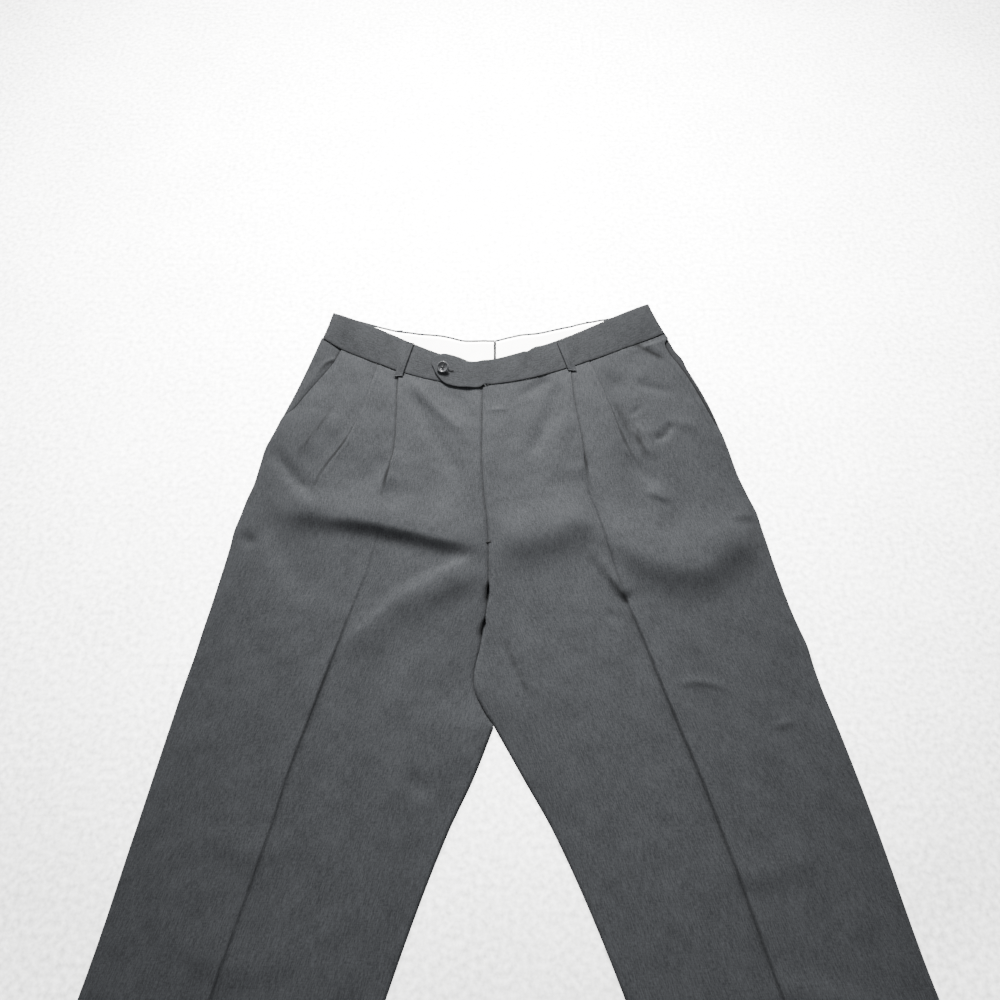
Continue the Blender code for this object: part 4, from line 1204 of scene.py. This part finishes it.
def add_stitches(front, band, thread):
    """The bar tack at the fly's foot and the buttonhole's two worked edges."""
    stitches = []
    for name, row, piece in (("bar_tack", BAR_TACK, front), ("buttonhole", BUTTONHOLE, band)):
        for index in range(row.count):
            start = row.start[0], row.start[1] + row.step * index
            end = row.end[0], row.end[1] + row.step * index
            stitches.append(add_stitch("%s_%d" % (name, index), piece, start, end, row, thread))
    return join("fly_stitches", stitches)


def apply_modifiers(piece):
    bpy.context.view_layer.update()
    shaped = piece.evaluated_get(bpy.context.evaluated_depsgraph_get())
    mesh = bpy.data.meshes.new_from_object(shaped)
    piece.modifiers.clear()
    piece.data = mesh


# --- Materials ---------------------------------------------------------------------------------

BAND_SHADE = 0.25          # painted shade that darkens every band all over: waistbands and belt loops
PAINTED_SHADE_DEPTH = 0.72          # how far painted shade darkens the cloth's colour deep in a fold


def add_node(tree, kind, inputs=None, **settings):
    node = tree.nodes.new(kind)
    for name, value in settings.items():
        setattr(node, name, value)
    for name, value in (inputs or {}).items():
        socket = node.inputs[name]
        if isinstance(value, bpy.types.NodeSocket):
            tree.links.new(value, socket)
        else:
            socket.default_value = value
    return node


def math_node(tree, operation, first, second=0.0, third=0.0):
    return add_node(tree, "ShaderNodeMath", {0: first, 1: second, 2: third}, operation=operation).outputs[0]


def noise(tree, vector, scale, detail=2.0, stretch=(1.0, 1.0, 1.0)):
    placed = add_node(tree, "ShaderNodeMapping", {"Vector": vector, "Scale": stretch})
    texture = add_node(tree, "ShaderNodeTexNoise",
                       {"Vector": placed.outputs[0], "Scale": scale, "Detail": detail})
    return texture.outputs["Fac"]


def worsted_group():
    """Heather worsted: streaks of light and dark yarn, a plain weave, a faint mottle and the painted shade
    that each piece carries in its folds.
    """
    group = bpy.data.node_groups.new("heather_worsted", "ShaderNodeTree")
    for name, kind in (("Dark", "Color"), ("Light", "Color"), ("Yarn Spacing", "Float")):
        group.interface.new_socket(name, in_out="INPUT", socket_type="NodeSocket" + kind)
    for name, kind in (("Color", "Color"), ("Height", "Float"), ("Roughness", "Float")):
        group.interface.new_socket(name, in_out="OUTPUT", socket_type="NodeSocket" + kind)
    given = group.nodes.new("NodeGroupInput")
    result = group.nodes.new("NodeGroupOutput")
    grain = add_node(group, "ShaderNodeUVMap", uv_map="grain").outputs[0]
    streak = noise(group, grain, 1.0, 3.0, (820.0, 90.0, 1.0))
    thread = noise(group, grain, 1.0, 2.0, (1400.0, 400.0, 1.0))
    weft = noise(group, grain, 1.0, 2.0, (200.0, 1100.0, 1.0))
    cloud = noise(group, grain, 34.0, 3.0)
    tone = math_node(group, "MULTIPLY_ADD", streak, 1.7, -0.85)
    tone = math_node(group, "MULTIPLY_ADD", thread, 1.9, tone)
    tone = math_node(group, "MULTIPLY_ADD", weft, 0.9, tone)
    tone = math_node(group, "MULTIPLY_ADD", cloud, 0.8, tone)
    tone = math_node(group, "SUBTRACT", tone, 1.3)
    colour = add_node(group, "ShaderNodeMix", {
        "Factor": tone, 6: given.outputs["Dark"], 7: given.outputs["Light"],
    }, data_type="RGBA", clamp_factor=True).outputs[2]
    # painted shade: the colour is darkened by each piece's painted shade attribute
    painted_shade = add_node(group, "ShaderNodeAttribute", attribute_name="painted_shade").outputs["Fac"]
    shade = math_node(group, "MULTIPLY_ADD", painted_shade, -PAINTED_SHADE_DEPTH, 1.0)
    shaded = add_node(group, "ShaderNodeVectorMath", {0: colour, "Scale": shade}, operation="SCALE")
    colour = shaded.outputs[0]
    parts = add_node(group, "ShaderNodeSeparateXYZ", {0: grain})
    turns = math_node(group, "DIVIDE", 2 * math.pi, given.outputs["Yarn Spacing"])
    warp_wave = math_node(group, "SINE", math_node(group, "MULTIPLY", parts.outputs[0], turns))
    weft_wave = math_node(group, "SINE", math_node(group, "MULTIPLY", parts.outputs[1], turns))
    weave = math_node(group, "MULTIPLY", warp_wave, weft_wave)
    height = math_node(group, "MULTIPLY_ADD", weave, 0.22, 0.5)
    height = math_node(group, "MULTIPLY_ADD", streak, 0.5, height)
    rough = math_node(group, "MULTIPLY_ADD", thread, -0.2, 0.92)
    group.links.new(colour, result.inputs["Color"])
    group.links.new(height, result.inputs["Height"])
    group.links.new(rough, result.inputs["Roughness"])
    return group


def new_material(name):
    material = bpy.data.materials.new(name)
    material.use_nodes = True
    return material, material.node_tree, material.node_tree.nodes["Principled BSDF"]


def worsted_material(name, dark, light, spacing=0.0006):
    material, tree, shader = new_material(name)
    cloth = tree.nodes.new("ShaderNodeGroup")
    cloth.node_tree = bpy.data.node_groups.get("heather_worsted") or worsted_group()
    cloth.inputs["Dark"].default_value = (*dark, 1.0)
    cloth.inputs["Light"].default_value = (*light, 1.0)
    cloth.inputs["Yarn Spacing"].default_value = spacing
    bump = add_node(tree, "ShaderNodeBump", {
        "Strength": 0.45, "Distance": 0.00025, "Height": cloth.outputs["Height"],
    })
    tree.links.new(cloth.outputs["Color"], shader.inputs["Base Color"])
    tree.links.new(cloth.outputs["Roughness"], shader.inputs["Roughness"])
    tree.links.new(bump.outputs[0], shader.inputs["Normal"])
    shader.inputs["Specular IOR Level"].default_value = 0.25
    shader.inputs["Sheen Weight"].default_value = 0.06
    shader.inputs["Sheen Roughness"].default_value = 0.5
    return material


def lining_material():
    """White cotton twill with its fine diagonal."""
    material, tree, shader = new_material("band_lining_twill")
    grain = add_node(tree, "ShaderNodeUVMap", uv_map="grain").outputs[0]
    parts = add_node(tree, "ShaderNodeSeparateXYZ", {0: grain})
    slant = math_node(tree, "ADD", parts.outputs[0], parts.outputs[1])
    rib = math_node(tree, "SINE", math_node(tree, "MULTIPLY", slant, 2 * math.pi / 0.0011))
    cloud = noise(tree, grain, 60.0, 3.0)
    colour = add_node(tree, "ShaderNodeMix", {
        "Factor": cloud, 6: (0.83, 0.82, 0.79, 1.0), 7: (0.92, 0.915, 0.9, 1.0),
    }, data_type="RGBA").outputs[2]
    height = math_node(tree, "MULTIPLY_ADD", rib, 0.4, cloud)
    bump = add_node(tree, "ShaderNodeBump", {"Strength": 0.3, "Distance": 0.0002, "Height": height})
    tree.links.new(colour, shader.inputs["Base Color"])
    tree.links.new(bump.outputs[0], shader.inputs["Normal"])
    shader.inputs["Roughness"].default_value = 0.8
    return material


def button_material():
    """Polished dark grey polyester with a faint marbled depth."""
    material, tree, shader = new_material("button_polished")
    place = add_node(tree, "ShaderNodeTexCoord").outputs["Object"]
    swirl = noise(tree, place, 260.0, 4.0)
    scuff = noise(tree, place, 1800.0, 2.0)
    colour = add_node(tree, "ShaderNodeMix", {
        "Factor": swirl, 6: (0.08, 0.083, 0.09, 1.0), 7: (0.26, 0.265, 0.28, 1.0),
    }, data_type="RGBA").outputs[2]
    tree.links.new(colour, shader.inputs["Base Color"])
    tree.links.new(math_node(tree, "MULTIPLY_ADD", scuff, 0.2, 0.16), shader.inputs["Roughness"])
    shader.inputs["Coat Weight"].default_value = 0.5
    shader.inputs["Coat Roughness"].default_value = 0.12
    return material


def thread_material(name, dark, light):
    material, tree, shader = new_material(name)
    place = add_node(tree, "ShaderNodeTexCoord").outputs["Object"]
    ply = noise(tree, place, 2600.0, 2.0)
    colour = add_node(tree, "ShaderNodeMix", {
        "Factor": ply, 6: (*dark, 1.0), 7: (*light, 1.0),
    }, data_type="RGBA").outputs[2]
    bump = add_node(tree, "ShaderNodeBump", {"Strength": 0.5, "Distance": 0.0001, "Height": ply})
    tree.links.new(colour, shader.inputs["Base Color"])
    tree.links.new(bump.outputs[0], shader.inputs["Normal"])
    shader.inputs["Roughness"].default_value = 0.7
    return material


def floor_material():
    """A pale, finely pebbled surface with a painted glow that only the camera sees, brightest in a pool of
    light round its middle and bright enough to lose its shadows.
    """
    material, tree, shader = new_material("pale_floor")
    place = add_node(tree, "ShaderNodeTexCoord").outputs["Object"]
    pebble = noise(tree, place, 170.0, 3.0)
    patch = noise(tree, place, 9.0, 2.0)
    bump = add_node(tree, "ShaderNodeBump", {"Strength": 0.35, "Distance": 0.002, "Height": pebble})
    shade = math_node(tree, "MULTIPLY_ADD", pebble, 1.6, math_node(tree, "MULTIPLY_ADD", patch, 0.3, 0.025))
    seen = add_node(tree, "ShaderNodeLightPath").outputs["Is Camera Ray"]
    # painted pool of light: the glow falls off away from GLOW_CENTRE
    away = add_node(tree, "ShaderNodeVectorMath", {0: place, 1: GLOW_CENTRE}, operation="DISTANCE")
    painted_pool = math_node(tree, "DIVIDE", away.outputs["Value"], GLOW_REACH)
    painted_pool = math_node(tree, "MULTIPLY", math_node(tree, "MULTIPLY", painted_pool, painted_pool), -1.0)
    painted_pool = math_node(tree, "MAXIMUM", math_node(tree, "POWER", math.e, painted_pool), FAR_GLOW)
    glow = math_node(tree, "MULTIPLY", math_node(tree, "MULTIPLY", shade, FLOOR_GLOW), seen)
    glow = math_node(tree, "MULTIPLY", glow, painted_pool)
    shader.inputs["Base Color"].default_value = (0.9, 0.9, 0.895, 1.0)
    shader.inputs["Roughness"].default_value = 0.75
    shader.inputs["Emission Color"].default_value = (1.0, 0.998, 0.985, 1.0)
    tree.links.new(glow, shader.inputs["Emission Strength"])
    tree.links.new(bump.outputs[0], shader.inputs["Normal"])
    return material


# --- Stage, light and camera -------------------------------------------------------------------

# The floor's painted glow, seen by the camera alone: its strength, the middle and reach of its pool of
# light, and what it keeps far away
FLOOR_GLOW = 17.0
GLOW_CENTRE = (-0.05, 0.9, 0.0)
GLOW_REACH = 0.79
FAR_GLOW = 0.15
BACKDROP_GLOW = 3.2
KEY_POWER = 4.8
LINING_POWER = 36.0
KEY_PLACE = (-170.0, 1850.0, 950.0)
KEY_AIM = (15.0, 400.0, 0.0)
KEY_SIZE = 0.5
KEY_SPREAD = 46.0
SKY_LIGHT = 0.25
CAMERA_HEIGHT = 841.1
CAMERA_PITCH = 64.0        # below the horizon
LENS = 28.8
SENSOR = 36.0


def add_floor():
    span = np.linspace(-3.0, 3.0, 13)
    grid = np.stack([*np.meshgrid(span, span, indexing="ij"), np.zeros((13, 13))], axis=-1)
    faces = [face[::-1] for face in grid_faces(13, 13)]
    floor = add_mesh("pale_floor", grid.reshape(-1, 3), faces, floor_material())
    floor.location.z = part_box("back_left")[0].z - 0.0003


def add_lamp(name, power):
    """A round soft lamp beyond the waist, aimed down at the trousers."""
    light = bpy.data.lights.new(name, "AREA")
    light.energy = power
    light.shape = "DISK"
    light.size = KEY_SIZE
    light.spread = math.radians(KEY_SPREAD)
    light.color = (1.0, 0.995, 0.985)
    lamp = bpy.data.objects.new(name, light)
    place, aim = to_frame([KEY_PLACE, KEY_AIM])
    lamp.location = place
    lamp.rotation_euler = Vector(aim - place).to_track_quat("-Z", "Y").to_euler()
    bpy.context.scene.collection.objects.link(lamp)
    return lamp


def add_lining_lamp(linings):
    """A stronger lamp that lights the white linings alone, until they are as white as the floor."""
    lit = bpy.data.collections.new("lit_linings")
    for lining in linings:
        lit.objects.link(lining)
    add_lamp("lining_light", LINING_POWER).light_linking.receiver_collection = lit


def add_lights():
    add_lamp("window_light", KEY_POWER)
    world = bpy.data.worlds.new("studio")
    world.use_nodes = True
    sky = world.node_tree.nodes["Background"]
    sky.inputs[0].default_value = (0.97, 0.985, 1.0, 1.0)
    seen = add_node(world.node_tree, "ShaderNodeLightPath").outputs["Is Camera Ray"]
    glow = math_node(world.node_tree, "MULTIPLY_ADD", seen, BACKDROP_GLOW, SKY_LIGHT)
    world.node_tree.links.new(glow, sky.inputs[1])
    bpy.context.scene.world = world


def add_camera():
    lens = bpy.data.cameras.new("camera")
    lens.lens = LENS
    lens.sensor_width = SENSOR
    camera = bpy.data.objects.new("camera", lens)
    camera.location = to_frame([(0.0, 0.0, CAMERA_HEIGHT)])[0]
    camera.rotation_euler = (math.radians(90 - CAMERA_PITCH), 0.0, 0.0)
    bpy.context.scene.collection.objects.link(camera)
    bpy.context.scene.camera = camera


# --- Assembly ----------------------------------------------------------------------------------

Cut = namedtuple("Cut", "width length area rests_on")


def settle(piece, node):
    """The piece rides with the trousers and stands for its CAD node."""
    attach(piece, "root")
    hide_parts(node)


def build_trousers():
    worsted = worsted_material("worsted_charcoal", (0.055, 0.058, 0.063), (0.118, 0.124, 0.133))
    lining = lining_material()
    thread = thread_material("sewing_thread", (0.03, 0.031, 0.034), (0.075, 0.077, 0.083))
    button_thread = thread_material("button_thread", (0.16, 0.16, 0.165), (0.32, 0.32, 0.33))
    linings = []
    for side in SIDES.values():
        front, band = add_front(side, worsted), add_waistband(side, worsted)
        settle(add_back(side, worsted), "back_" + side.name)
        settle(front, "front_" + side.name)
        settle(add_facing(side, worsted), "pocket_facing_" + side.name)
        settle(band, "waistband_" + side.name)
        linings.append(add_lining(side, lining))
        settle(linings[-1], "waistband_lining_" + side.name)
        settle(add_front_loop(side, worsted), "front_loop_" + side.name)
    for place in BACK_LOOPS:
        settle(add_back_loop(place, worsted), "back_loop_" + place)
    button, sewing = add_button(button_material(), button_thread)
    settle(button, "fly_button")
    add_lining_lamp(linings)
    stitches = add_stitches(front, band, thread)
    for piece in (sewing, stitches):
        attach(piece, "root")


add_camera()
add_floor()
add_lights()
build_trousers()
